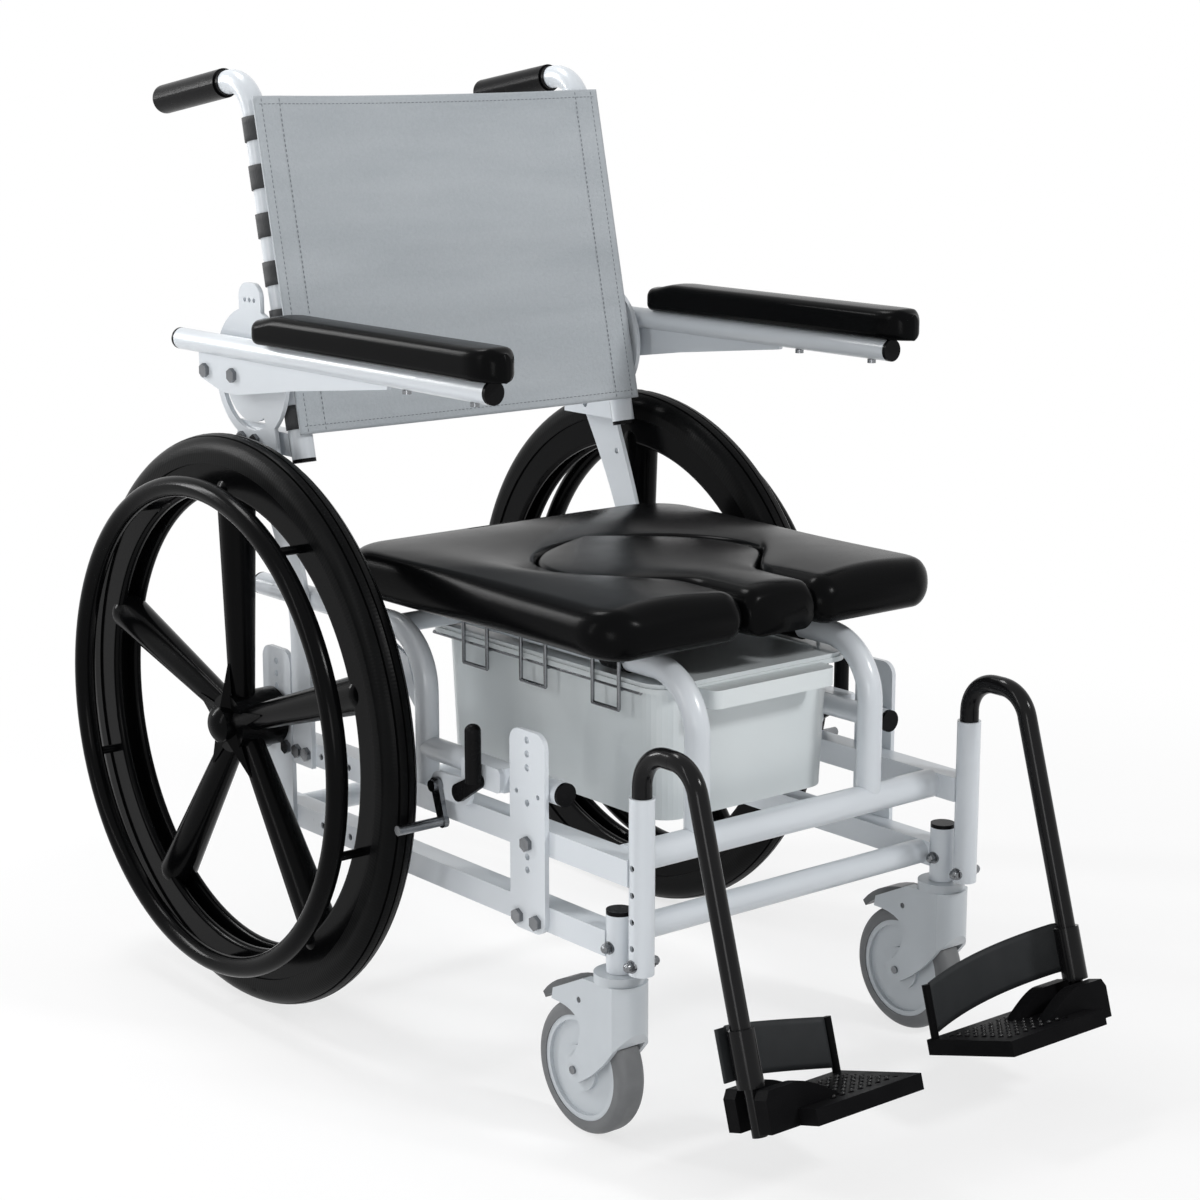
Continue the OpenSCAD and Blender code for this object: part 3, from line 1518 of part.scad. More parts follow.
module pan_block(inset, z0, z1) {
    w0 = pan_x - pan_draft - inset;
    w1 = pan_x - inset;
    r = pan_round - inset;
    hull() {
        for (x = [-1, 1], y = [0, 1]) {
            edge = y == 0 ? pan_front_y + inset + r : pan_rear_y - inset - r;
            translate([x * (w0 - r), edge + (y == 0 ? pan_draft : -pan_draft), z0])
                cylinder(h = 0.01, r = r, $fn = 32);
            translate([x * (w1 - r), edge, z1 - 0.01])
                cylinder(h = 0.01, r = r, $fn = 32);
        }
    }
}

module rounded_slab(x, y0, y1, z, t, r) {
    translate([0, 0, z])
        linear_extrude(t) {
            translate([-x + r, y0])
                square([2 * (x - r), y1 - y0]);
            translate([-x, y0 + r])
                square([2 * x, y1 - y0 - 2 * r]);
            for (s = [-1, 1], y = [y0 + r, y1 - r])
                translate([s * (x - r), y])
                    circle(r);
        }
}

rim_over = (pan_rim_w - pan_w) / 2;

module commode_pan() {
    color([0.78, 0.81, 0.83]) in_frame()
        difference() {
            union() {
                pan_block(0, pan_z, pan_top - rim_t);
                rounded_slab(pan_rim_w / 2, pan_front_y - rim_over, pan_rear_y + rim_over, rim_z, rim_t,
                             pan_round);
                // Hand grip on the front wall, open below
                rounded_slab(lip_x, pan_front_y - lip_out, pan_front_y + pan_round, rim_z - lip_h + 3, lip_h,
                             10);
            }
            pan_block(pan_wall, pan_z + pan_wall, pan_top + eps);
            rounded_slab(lip_x - 4, pan_front_y - lip_out + 4, pan_front_y - eps, rim_z - lip_h, lip_h - 1,
                         6);
        }
}

module pan_lid() {
    color([0.7, 0.74, 0.74]) in_frame()
        difference() {
            rounded_slab(pan_rim_w / 2 - 2, pan_front_y - rim_over + 2, pan_rear_y + rim_over - 2, pan_top,
                         lid_t, pan_round);
            rounded_slab(pan_x - 10, pan_front_y + 10, pan_rear_y - 10, pan_top + lid_t - 1.5, lid_t,
                         pan_round - 8);
        }
}

guide_x = pan_rim_w / 2 - 4;
guide_z = rim_z - guide_d / 2 - 0.3;
hook_x = pan_rim_w / 2 + 1 + guide_d / 2;
hook_y = [pan_front_y + 64.5, (pan_front_y + pan_rear_y) / 2, pan_rear_y - 82];
hook_w = 40;
hook_low = 20;

// Wires under the pan's rim, hung from the seat tubes by square hooks
module pan_guides() {
    color(zinc) in_frame() both_sides() {
        rod_y(guide_x, pan_front_y + 20, pan_rear_y, guide_z, guide_d / 2);
        for (y = hook_y) {
            for (e = [y - hook_w / 2, y + hook_w / 2]) {
                rod_z(hook_x, e, guide_z - hook_low, seat_tube_z, guide_d / 2);
                rod_x(front_leg_x + leg_r + 0.1, hook_x, e, seat_tube_z, guide_d / 2);
            }
            rod_y(hook_x, y - hook_w / 2, y + hook_w / 2, guide_z - hook_low, guide_d / 2);
            rod_x(guide_x, hook_x, y - hook_w / 2, guide_z, guide_d / 2);
        }
    }
}

side_rails();
cross_tubes();
front_seat_legs();
rear_seat_legs();
front_plates();
axle_plates();
wheel_axles();
back_carriers();
back_brackets();
back_tubes();
push_grips();
back_sling();
sling_straps();
arm_hinge_plates();
front_sockets();
tube_plugs();
frame_bolts();
lock_brackets();
pan_guides();
seat_clips();
seat_cushion();
seat_insert();
commode_pan();
pan_lid();
wheel(true);  // wheel_left
wheel(false);  // wheel_right
tyre(true);  // tyre_left
tyre(false);  // tyre_right
handrim(true);  // handrim_left
handrim(false);  // handrim_right
hub_cover(true);  // hub_cover_left
hub_cover(false);  // hub_cover_right
caster_fork(true);  // caster_fork_left
caster_fork(false);  // caster_fork_right
caster_stem(true);  // caster_stem_left
caster_stem(false);  // caster_stem_right
caster_wheel(true);  // caster_wheel_left
caster_wheel(false);  // caster_wheel_right
caster_tyre(true);  // caster_tyre_left
caster_tyre(false);  // caster_tyre_right
caster_pedal(true);  // caster_pedal_left
caster_pedal(false);  // caster_pedal_right
armrest(true);  // armrest_left
armrest(false);  // armrest_right
arm_pad(true);  // arm_pad_left
arm_pad(false);  // arm_pad_right
arm_bolts(true);  // arm_bolts_left
arm_bolts(false);  // arm_bolts_right
hanger(true);  // hanger_left
hanger(false);  // hanger_right
heel_strap(true);  // heel_strap_left
heel_strap(false);  // heel_strap_right
footplate(true);  // footplate_left
footplate(false);  // footplate_right
lock_lever(true);  // lock_lever_left
lock_lever(false);  // lock_lever_right
lock_pin(true);  // lock_pin_left
lock_pin(false);  // lock_pin_right
arm_plugs(true);  // arm_plugs_left
arm_plugs(false);  // arm_plugs_right
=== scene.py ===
import math

import bmesh
import bpy
import numpy as np
from mathutils import Euler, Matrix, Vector


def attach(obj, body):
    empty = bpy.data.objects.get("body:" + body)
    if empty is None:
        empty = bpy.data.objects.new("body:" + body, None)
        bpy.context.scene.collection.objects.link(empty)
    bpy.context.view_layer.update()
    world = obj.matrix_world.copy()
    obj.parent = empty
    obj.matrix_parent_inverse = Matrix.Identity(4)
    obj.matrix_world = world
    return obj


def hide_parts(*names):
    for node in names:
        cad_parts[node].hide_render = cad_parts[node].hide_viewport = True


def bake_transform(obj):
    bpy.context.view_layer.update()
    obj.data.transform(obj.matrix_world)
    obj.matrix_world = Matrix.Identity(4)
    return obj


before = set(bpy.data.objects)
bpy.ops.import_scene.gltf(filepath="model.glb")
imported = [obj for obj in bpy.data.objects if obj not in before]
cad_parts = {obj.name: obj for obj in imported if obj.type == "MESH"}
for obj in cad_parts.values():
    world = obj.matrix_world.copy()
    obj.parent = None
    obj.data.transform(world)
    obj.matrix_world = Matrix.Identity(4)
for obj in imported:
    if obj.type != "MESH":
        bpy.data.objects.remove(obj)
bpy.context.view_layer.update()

scene = bpy.context.scene

# Frame tubes and plates
# Welded steel tube and laser-cut plate with a cool white gloss powder coat. The coat has a fine
# orange peel and is a little duller in soft random patches.


class Wire:
    """One socket of a node tree, whose arithmetic adds Math nodes to the tree."""

    def __init__(self, owner, socket):
        self.owner = owner
        self.socket = socket

    def _math(self, operation, first, second):
        return self.owner.node("ShaderNodeMath", {"operation": operation}, {0: first, 1: second})

    def __add__(self, other):
        return self._math("ADD", self, other)

    def __sub__(self, other):
        return self._math("SUBTRACT", self, other)

    def __rsub__(self, other):
        return self._math("SUBTRACT", other, self)

    def __mul__(self, other):
        return self._math("MULTIPLY", self, other)

    __radd__ = __add__
    __rmul__ = __mul__


class Nodes:
    """A node tree, whose nodes come from one method."""

    def __init__(self, tree):
        self.tree = tree

    def put(self, node, socket, value):
        target = node.inputs[socket]
        if isinstance(value, Wire):
            self.tree.links.new(value.socket, target)
        elif target.type == "RGBA":
            target.default_value = (*value, 1)
        else:
            target.default_value = value

    def node(self, kind, settings=(), sockets=(), output=0):
        made = self.tree.nodes.new(kind)
        for name, value in dict(settings).items():
            if name == "stops":
                for stop, (where, colour) in zip(made.color_ramp.elements, value):
                    stop.position = where
                    stop.color = (*colour, 1)
            else:
                setattr(made, name, value)
        for socket, value in dict(sockets).items():
            self.put(made, socket, value)
        return Wire(self, made.outputs[output]) if len(made.outputs) else None


class Finish(Nodes):
    """A material with one shader, whose patterns lie on the piece's own coordinates."""

    def __init__(self, name, **sockets):
        self.material = bpy.data.materials.new(name)
        self.material.use_nodes = True
        super().__init__(self.material.node_tree)
        self.shader = self.tree.nodes["Principled BSDF"]
        for socket, value in sockets.items():
            self.feed(socket.replace("_", " "), value)
        self.place = self.node("ShaderNodeTexCoord", output="Object")

    def feed(self, socket, value):
        self.put(self.shader, socket, value)

    def noise(self, scale, detail=2.0, rough=0.5, where=None):
        return self.node("ShaderNodeTexNoise", {}, {"Vector": where or self.place, "Scale": scale,
                                                    "Detail": detail, "Roughness": rough})

    def colours(self, mask, low, high):
        return self.node("ShaderNodeValToRGB", {"stops": [(0.0, low), (1.0, high)]}, {0: mask})

    def bump(self, height, depth, strength=1.0):
        self.feed("Normal", self.node("ShaderNodeBump", {}, {"Height": height, "Distance": depth,
                                                             "Strength": strength}))

    def axes(self):
        first = self.node("ShaderNodeSeparateXYZ", {}, {0: self.place})
        return [Wire(self, socket) for socket in first.socket.node.outputs]


def dress(finish, *nodes):
    for node in nodes:
        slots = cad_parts[node].data.materials
        slots.clear()
        slots.append(finish.material)


def sided(*names):
    return [name + side for name in names for side in ("_left", "_right")]


powder_coat = Finish("white_powder_coat", Coat_Weight=0.3, Coat_Roughness=0.15)
cloudy = powder_coat.noise(9, 3)
powder_coat.feed("Base Color", powder_coat.colours(cloudy, (0.6, 0.64, 0.68), (0.66, 0.695, 0.73)))
powder_coat.feed("Roughness", powder_coat.noise(45, 3) * 0.14 + 0.24)
powder_coat.bump(powder_coat.noise(620, 2), 0.0002, 0.25)
dress(powder_coat, "side_rails", "cross_tubes", "front_seat_legs", "rear_seat_legs", "front_plates",
      "axle_plates", "back_carriers", "back_brackets", "back_tubes", "arm_hinge_plates", "front_sockets",
      "lock_brackets", *sided("armrest"))

# Bolts, axles and wires
# Zinc-plated steel: hex bolts in the plates, the axle pins, the caster stems, the lock pins and the
# wire runners of the pan. Dome nuts sit on the stem tubes and the footrest sockets.

zinc = Finish("zinc_painted_dark_reflection", Metallic=1.0)
# The metal's colour is set far darker than plain zinc: a painted dark reflection, as if the bolts mirrored a
# dark surround.
zinc.feed("Base Color", zinc.colours(zinc.noise(60, 4), (0.13, 0.136, 0.145), (0.27, 0.278, 0.29)))
zinc.feed("Roughness", zinc.noise(160, 4) * 0.18 + 0.14)
zinc.bump(zinc.noise(900, 2), 0.0001, 0.3)
dress(zinc, "frame_bolts", "wheel_axles", "pan_guides", *sided("arm_bolts", "caster_stem", "lock_pin"))

# Lengths along Y are measured from the rear axle, which stands here in the frame
AXLE_Y = 0.246247
RAIL_X = 0.2135
STEM_Y, STEM_TUBE_R, STEM_NUT_Z = -0.554, 0.0125, 0.1950
SOCKET_Y, SOCKET_R, SOCKET_NUT_Z = -0.586, 0.0120, 0.1855
# Each ring of a nut: how far it stands off the tube, its radius and whether it has six flats
NUT_RINGS = ((-0.002, 0.0062, False), (0.0008, 0.0062, False), (0.0009, 0.0054, True),
             (0.0042, 0.0054, True), (0.0043, 0.0046, False), (0.0058, 0.0043, False),
             (0.0072, 0.0034, False), (0.0081, 0.0019, False), (0.0084, 0.0004, False))
NUT_STEPS = 24


def meshed(name, points, faces, finish, smooth):
    """A mesh object in the scene, with its place in its points."""
    mesh = bpy.data.meshes.new(name)
    mesh.from_pydata(points, [], faces)
    mesh.polygons.foreach_set("use_smooth", [smooth] * len(mesh.polygons))
    mesh.materials.append(finish.material)
    made = bpy.data.objects.new(name, mesh)
    scene.collection.objects.link(made)
    return made


def flats(turn):
    """The share of its radius that a ring with six flats has at a turn."""
    return math.cos(math.pi / 6) / math.cos(turn % (math.pi / 3) - math.pi / 6)


nut_points, nut_faces = [], []
for tube_y, tube_r, nut_z in ((STEM_Y, STEM_TUBE_R, STEM_NUT_Z), (SOCKET_Y, SOCKET_R, SOCKET_NUT_Z)):
    for tube_x in (RAIL_X, -RAIL_X):
        for sign in (1, -1):
            first = len(nut_points)
            for out, radius, hexed in NUT_RINGS:
                x = tube_x + sign * (tube_r + out)
                for i in range(NUT_STEPS):
                    a = 2 * math.pi * i / NUT_STEPS
                    r = radius * (flats(a) if hexed else 1)
                    nut_points.append((x, tube_y + r * math.sin(a) + AXLE_Y, nut_z + r * math.cos(a)))
            rings = [first + NUT_STEPS * j for j in range(len(NUT_RINGS))]
            skin = [(low + i, high + i, high + (i + 1) % NUT_STEPS, low + (i + 1) % NUT_STEPS)
                    for low, high in zip(rings, rings[1:]) for i in range(NUT_STEPS)]
            skin.append(tuple(range(first, first + NUT_STEPS)))
            skin.append(tuple(range(rings[-1], rings[-1] + NUT_STEPS))[::-1])
            nut_faces += skin if sign > 0 else [face[::-1] for face in skin]
nuts = meshed("dome_nuts", nut_points, nut_faces, zinc, False)
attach(nuts, "frame")

# Plugs, clips, grips and lock levers
# Black moulded plastic with a fine spark texture, pressed into the tube ends or pushed over them. The
# clips hold the seat on its tubes, and the levers turn on the lock brackets.

black_plastic = Finish("black_moulding", Specular_IOR_Level=0.06)
black_plastic.feed("Base Color", black_plastic.colours(black_plastic.noise(30, 3), (0.003, 0.003, 0.0035),
                                                       (0.007, 0.007, 0.0075)))
black_plastic.feed("Roughness", black_plastic.noise(80, 3) * 0.12 + 0.2)
black_plastic.bump(black_plastic.noise(1400, 2), 0.0001, 0.35)
dress(black_plastic, "tube_plugs", "seat_clips", "push_grips", *sided("lock_lever", "arm_plugs"))

# Drive wheels
# Five round spokes and a channelled rim moulded in glass-filled nylon, gloss black, with a star-shaped
# hub cover. The handrims are coated tube on short posts.

wheel_gloss = Finish("black_wheel_gloss", Specular_IOR_Level=0.05)
wheel_gloss.feed("Base Color", wheel_gloss.colours(wheel_gloss.noise(14, 3), (0.0014, 0.0015, 0.0017),
                                                   (0.0028, 0.0029, 0.0032)))
wheel_gloss.feed("Roughness", wheel_gloss.noise(35, 4) * 0.08 + 0.15)
wheel_gloss.bump(wheel_gloss.noise(420, 2), 0.0002, 0.2)
dress(wheel_gloss, *sided("wheel", "handrim", "hub_cover"))

# Drive tyres
# Solid black rubber with three grooves round the tread and fine cross cuts moulded between them,
# dull and a little dusty on the sides.

TYRE_R = 0.305
CUTS_PER_RADIAN = 150
tyre_rubber = Finish("black_tyre_rubber", Specular_IOR_Level=0.05)
along, up = tyre_rubber.axes()[1:]
turn = tyre_rubber.node("ShaderNodeMath", {"operation": "ARCTAN2"}, {0: up - TYRE_R, 1: along - AXLE_Y})
cuts = tyre_rubber.node("ShaderNodeMath", {"operation": "PINGPONG"}, {0: turn * CUTS_PER_RADIAN, 1: 1.0})
dusty = tyre_rubber.noise(26, 5)
tyre_rubber.feed("Base Color", tyre_rubber.colours(dusty, (0.0018, 0.0019, 0.0021), (0.0046, 0.0048, 0.005)))
tyre_rubber.feed("Roughness", dusty * 0.16 + 0.26)
tyre_rubber.bump(cuts * 0.5 + tyre_rubber.noise(700, 3) * 0.3, 0.0004, 0.35)
dress(tyre_rubber, *sided("tyre"))

# Casters
# White moulded forks and wheels, a grey non-marking tyre and a grey brake pedal. Each fork turns on its
# stem in the tube at a front corner of the frame.

white_plastic = Finish("white_moulding", Coat_Weight=0.2, Coat_Roughness=0.2)
white_plastic.feed("Base Color", white_plastic.colours(white_plastic.noise(22, 3), (0.47, 0.505, 0.535),
                                                       (0.53, 0.565, 0.595)))
white_plastic.feed("Roughness", white_plastic.noise(60, 3) * 0.15 + 0.28)
white_plastic.bump(white_plastic.noise(800, 2), 0.0001, 0.2)
dress(white_plastic, *sided("caster_fork", "caster_wheel"))

grey_rubber = Finish("grey_caster_rubber")
grey_rubber.feed("Base Color", grey_rubber.colours(grey_rubber.noise(50, 4), (0.11, 0.115, 0.12),
                                                   (0.17, 0.175, 0.18)))
grey_rubber.feed("Roughness", grey_rubber.noise(90, 3) * 0.2 + 0.45)
grey_rubber.bump(grey_rubber.noise(900, 2), 0.0002, 0.3)
dress(grey_rubber, *sided("caster_tyre"))

grey_plastic = Finish("grey_pedal_moulding")
grey_plastic.feed("Base Color", grey_plastic.colours(grey_plastic.noise(40, 3), (0.075, 0.08, 0.085),
                                                     (0.115, 0.12, 0.125)))
grey_plastic.feed("Roughness", grey_plastic.noise(90, 3) * 0.15 + 0.35)
grey_plastic.bump(grey_plastic.noise(1200, 2), 0.0001, 0.3)
dress(grey_plastic, *sided("caster_pedal"))

# Footrests
# Bent steel tubes in gloss black, which turn in the sockets, and black plastic footplates with drain
# holes and rows of small studs on the tread.

black_coat = Finish("black_gloss_coat", Specular_IOR_Level=0.13)
black_coat.feed("Base Color", black_coat.colours(black_coat.noise(18, 3), (0.004, 0.004, 0.0045),
                                                 (0.008, 0.008, 0.0085)))
black_coat.feed("Roughness", black_coat.noise(40, 3) * 0.06 + 0.13)
black_coat.bump(black_coat.noise(500, 2), 0.0001, 0.15)
dress(black_coat, *sided("hanger"))

tread_plastic = Finish("black_footplate_moulding", Specular_IOR_Level=0.015)
tread_plastic.feed("Base Color", tread_plastic.colours(tread_plastic.noise(24, 4), (0.003, 0.003, 0.0035),
                                                       (0.008, 0.008, 0.0085)))
tread_plastic.feed("Roughness", tread_plastic.noise(70, 4) * 0.2 + 0.3)
tread_plastic.bump(tread_plastic.noise(1000, 3), 0.0002, 0.35)
dress(tread_plastic, *sided("footplate"))

stud_gloss = Finish("black_worn_studs", Specular_IOR_Level=0.3)
stud_gloss.feed("Base Color", stud_gloss.colours(stud_gloss.noise(90, 3), (0.003, 0.003, 0.0035),
                                                 (0.009, 0.009, 0.0095)))
stud_gloss.feed("Roughness", stud_gloss.noise(200, 3) * 0.12 + 0.1)
stud_gloss.bump(stud_gloss.noise(1500, 2), 0.0001, 0.2)

LEG_LEAN = math.radians(16.5)
LEG_TOP, LEG_LENGTH, HANGER_REACH = 0.3875, 0.309, 0.069
FOOT_Y = SOCKET_Y - HANGER_REACH - LEG_LENGTH * math.sin(LEG_LEAN)
FOOT_Z = LEG_TOP - LEG_LENGTH * math.cos(LEG_LEAN)
STUD_COUNT, STUD_PITCH, STUD_LENGTH, STUD_R = 7, 0.011, 0.0052, 0.0019
STUD_X, STUD_Y, STUD_Z = -0.1325, -0.02964, -0.0002


def on_foot(x, y, z, sign):
    """A point given across, to the heel and along the leg, placed in the chair's frame."""
    return (sign * (RAIL_X + x), FOOT_Y + y * math.cos(LEG_LEAN) + z * math.sin(LEG_LEAN) + AXLE_Y,
            FOOT_Z - y * math.sin(LEG_LEAN) + z * math.cos(LEG_LEAN))


def laid_beads(name, rows, pitch, length, radius, finish):
    """Long beads laid by Geometry Nodes along polylines, returned as one plain mesh object."""
    line_points, edges = [], []
    for points in rows:
        start = len(line_points)
        line_points += points
        edges += [(start + k, start + k + 1) for k in range(len(points) - 1)]
    line = bpy.data.meshes.new(name)
    line.from_pydata(line_points, edges, [])
    made = bpy.data.objects.new(name, line)
    scene.collection.objects.link(made)

    group = bpy.data.node_groups.new("laid_beads", "GeometryNodeTree")
    group.interface.new_socket("Geometry", in_out="INPUT", socket_type="NodeSocketGeometry")
    sizes = {}
    for label, value in (("Pitch", pitch), ("Bead length", length), ("Bead radius", radius)):
        socket = group.interface.new_socket(label, in_out="INPUT", socket_type="NodeSocketFloat")
        sizes[socket.identifier] = value
    group.interface.new_socket("Geometry", in_out="OUTPUT", socket_type="NodeSocketGeometry")

    beads = Nodes(group)
    lines, step, long, thick = (beads.node("NodeGroupInput", output=label)
                                for label in ("Geometry", "Pitch", "Bead length", "Bead radius"))
    curve = beads.node("GeometryNodeMeshToCurve", {}, {"Mesh": lines})
    spaced = beads.node("GeometryNodeResampleCurve", {"mode": "LENGTH"}, {"Curve": curve, "Length": step})
    bead = beads.node("GeometryNodeMeshUVSphere", {}, {"Segments": 8, "Rings": 6, "Radius": 1.0})
    tangent = beads.node("GeometryNodeInputTangent")
    turned = beads.node("FunctionNodeAlignRotationToVector", {"axis": "X"}, {"Vector": tangent})
    shape = beads.node("ShaderNodeCombineXYZ", {}, {"X": long * 0.5, "Y": thick, "Z": thick})
    laid = beads.node("GeometryNodeInstanceOnPoints", {},
                      {"Points": spaced, "Instance": bead, "Rotation": turned, "Scale": shape})
    real = beads.node("GeometryNodeRealizeInstances", {}, {"Geometry": laid})
    coloured = beads.node("GeometryNodeSetMaterial", {}, {"Geometry": real, "Material": finish.material})
    beads.node("NodeGroupOutput", {}, {"Geometry": coloured})

    layer = made.modifiers.new("beads", "NODES")
    layer.node_group = group
    for identifier, value in sizes.items():
        layer[identifier] = value
    bpy.context.view_layer.update()
    made_mesh = bpy.data.meshes.new_from_object(made.evaluated_get(bpy.context.evaluated_depsgraph_get()))
    made.modifiers.clear()
    made.data = made_mesh
    made_mesh.polygons.foreach_set("use_smooth", [True] * len(made_mesh.polygons))
    return made


for side, sign in (("left", 1), ("right", -1)):
    rows = [[on_foot(STUD_X + STUD_PITCH * i, STUD_Y + STUD_PITCH * j, STUD_Z, sign)
             for i in range(STUD_COUNT)] for j in range(STUD_COUNT)]
    studs = laid_beads("tread_studs_" + side, rows, STUD_PITCH, STUD_LENGTH, STUD_R, stud_gloss)
    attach(studs, "foot_" + side)

# Pan
# A pale grey moulded pan with a rim that slides on two wires, under a lid of the same plastic. It draws
# out to the rear.

pan_plastic = Finish("pale_pan_moulding", Coat_Weight=0.25, Coat_Roughness=0.15)
pan_plastic.feed("Base Color", pan_plastic.colours(pan_plastic.noise(7, 3), (0.63, 0.675, 0.69),
                                                   (0.69, 0.73, 0.735)))
pan_plastic.feed("Roughness", pan_plastic.noise(30, 3) * 0.14 + 0.26)
pan_plastic.bump(pan_plastic.noise(300, 2), 0.0002, 0.15)
dress(pan_plastic, "commode_pan", "pan_lid")

# Seat
# Integral-skin polyurethane foam in satin black, clipped to the seat tubes. A horseshoe cushion with a
# crown and rounded edges leaves a keyhole, and a separate insert of the same foam fills it.

SEAT_HALF, SEAT_FRONT, SEAT_REAR, SEAT_CORNER, SEAT_WAIST = 0.220, -0.544, -0.096, 0.046, 0.003
SEAT_UNDER, SEAT_THICK, SEAT_CROWN, CROWN_RUN = 0.455, 0.046, 0.006, 0.02
SEAT_NOSE, NOSE_UNDER = 0.022, 0.016
TURN_OUT, TURN_IN, TURN_IN_REAR, TURN_STEPS = 0.021, 0.020, 0.008, 8
KEY_HALF, KEY_LENGTH, KEY_MIDDLE, KEY_NECK = 0.122, 0.112, -0.348, 0.045
KEY_STEPS, NECK_STEPS = 16, 7
KEY_ANGLES = (-16.26, -8, 10, 25, 40, 54, 66, 76, 84, 90)
# How the keyhole's neck widens: shares of the round part's length and half width, and a delay in metres
NECK_END, NECK_RUN, NECK_WIDE, NECK_DELAY = 0.28, 0.95, 0.99, 0.016
INSERT_GAP, INSERT_SET_BACK, INSERT_LIFT, INSERT_SINK = 0.0006, 0.003, 0.002, 0.001
INSERT_NOSE, INSERT_NARROWS, INSERT_TURN, INSERT_TURN_REAR = 0.016, 0.4, 0.014, 0.008
SEAT_RINGS, INSERT_RINGS, ROUND_STEPS, TOP_STEPS = 97, 90, 9, 13


def ease(t):
    t = min(max(t, 0.0), 1.0)
    return (1 - math.cos(math.pi * t)) / 2


def rounded(e, radius):
    """How far a quarter-round edge of this radius has fallen at e from its outer end."""
    return radius - math.sqrt(max(0.0, radius ** 2 - (radius - e) ** 2)) if e < radius else 0.0


def key_point(u, gap):
    """A point of the keyhole's edge; u runs from 0 at the front to KEY_STEPS at the rear tip."""
    neck_from = SEAT_FRONT + SEAT_NOSE
    neck_to = KEY_MIDDLE - KEY_LENGTH * NECK_END
    if u <= NECK_STEPS:
        y = neck_from + (neck_to - neck_from) * u / NECK_STEPS
        t = ease((KEY_MIDDLE - y - NECK_DELAY) / (KEY_LENGTH * NECK_RUN))
        return (KEY_HALF * NECK_WIDE - gap) * (1 - t) + (KEY_NECK - gap) * t, y
    a = math.radians(np.interp(u, range(NECK_STEPS, KEY_STEPS + 1), KEY_ANGLES))
    return (KEY_HALF - gap) * math.cos(a), KEY_MIDDLE + (KEY_LENGTH - gap) * math.sin(a)


def seat_edge(t):
    """A point of the cushion's outer edge, from the front corner round to the middle of the rear."""
    side = SEAT_REAR - SEAT_FRONT - SEAT_NOSE - SEAT_CORNER
    arc = SEAT_CORNER * math.pi / 2
    middle = SEAT_HALF - SEAT_CORNER
    run = t * (side + arc + middle)
    if run < side:
        return SEAT_HALF - SEAT_WAIST * math.sin(math.pi * run / side), SEAT_FRONT + SEAT_NOSE + run
    if run < side + arc:
        a = (run - side) / SEAT_CORNER
        return middle + SEAT_CORNER * math.cos(a), SEAT_REAR - SEAT_CORNER + SEAT_CORNER * math.sin(a)
    return middle - (run - side - arc), SEAT_REAR


def lofted(name, rings, finish):
    """A closed smooth skin over rings of equal length, moved from the axle's frame to the chair's."""
    count, size = len(rings), len(rings[0])
    points = [(x, y + AXLE_Y, z) for ring in rings for x, y, z in ring]
    faces = [(j * size + i, j * size + (i + 1) % size, (j + 1) * size + (i + 1) % size, (j + 1) * size + i)
             for j in range(count - 1) for i in range(size)]
    faces.append(tuple(range(size))[::-1])
    faces.append(tuple((count - 1) * size + i for i in range(size)))
    made = meshed(name, points, faces, finish, True)
    made.data.validate()
    shell = bmesh.new()
    shell.from_mesh(made.data)
    bmesh.ops.recalc_face_normals(shell, faces=shell.faces)
    shell.to_mesh(made.data)
    shell.free()
    return made


def quarter(cx, cz, radius, start):
    """Points of a quarter round about a centre, from a starting angle in degrees."""
    return [(cx + radius * math.cos(math.radians(start + a)), cz + radius * math.sin(math.radians(start + a)))
            for a in np.linspace(0, 90, ROUND_STEPS)]


def seat_ring(inner, outer, low, high, turn_in, turn_out, crown):
    """A section of the cushion from the keyhole's edge to the outer edge."""
    width = math.dist(inner, outer)
    out = ((outer[0] - inner[0]) / width, (outer[1] - inner[1]) / width)
    turn_in, turn_out = (min(r, (high - low) * 0.48) for r in (turn_in, turn_out))
    profile = quarter(turn_in, low + turn_in, turn_in, 180)
    profile += quarter(width - turn_out, low + turn_out, turn_out, 270)
    profile += quarter(width - turn_out, high - turn_out, turn_out, 0)
    profile += [(u * width, high) for u in np.linspace(0.86, 0.14, TOP_STEPS)]
    profile += quarter(turn_in, high - turn_in, turn_in, 90)
    ring = []
    for w, z in profile:
        lift = crown * math.sin(math.pi * min(max(w / width, 0), 1)) if z > (low + high) / 2 else 0
        ring.append((inner[0] + out[0] * w, inner[1] + out[1] * w, z + lift))
    return ring


foam_skin = Finish("black_foam_skin", Specular_IOR_Level=0.035)
pores = foam_skin.node("ShaderNodeTexVoronoi", {"feature": "DISTANCE_TO_EDGE"},
                       {"Vector": foam_skin.place, "Scale": 620})
foam_skin.feed("Base Color", foam_skin.colours(foam_skin.noise(12, 4), (0.0018, 0.0019, 0.0021),
                                               (0.0034, 0.0035, 0.0038)))
foam_skin.feed("Roughness", foam_skin.noise(38, 4) * 0.08 + 0.19)
foam_skin.bump(pores * 0.5 + foam_skin.noise(900, 2) * 0.4, 0.00015, 0.3)

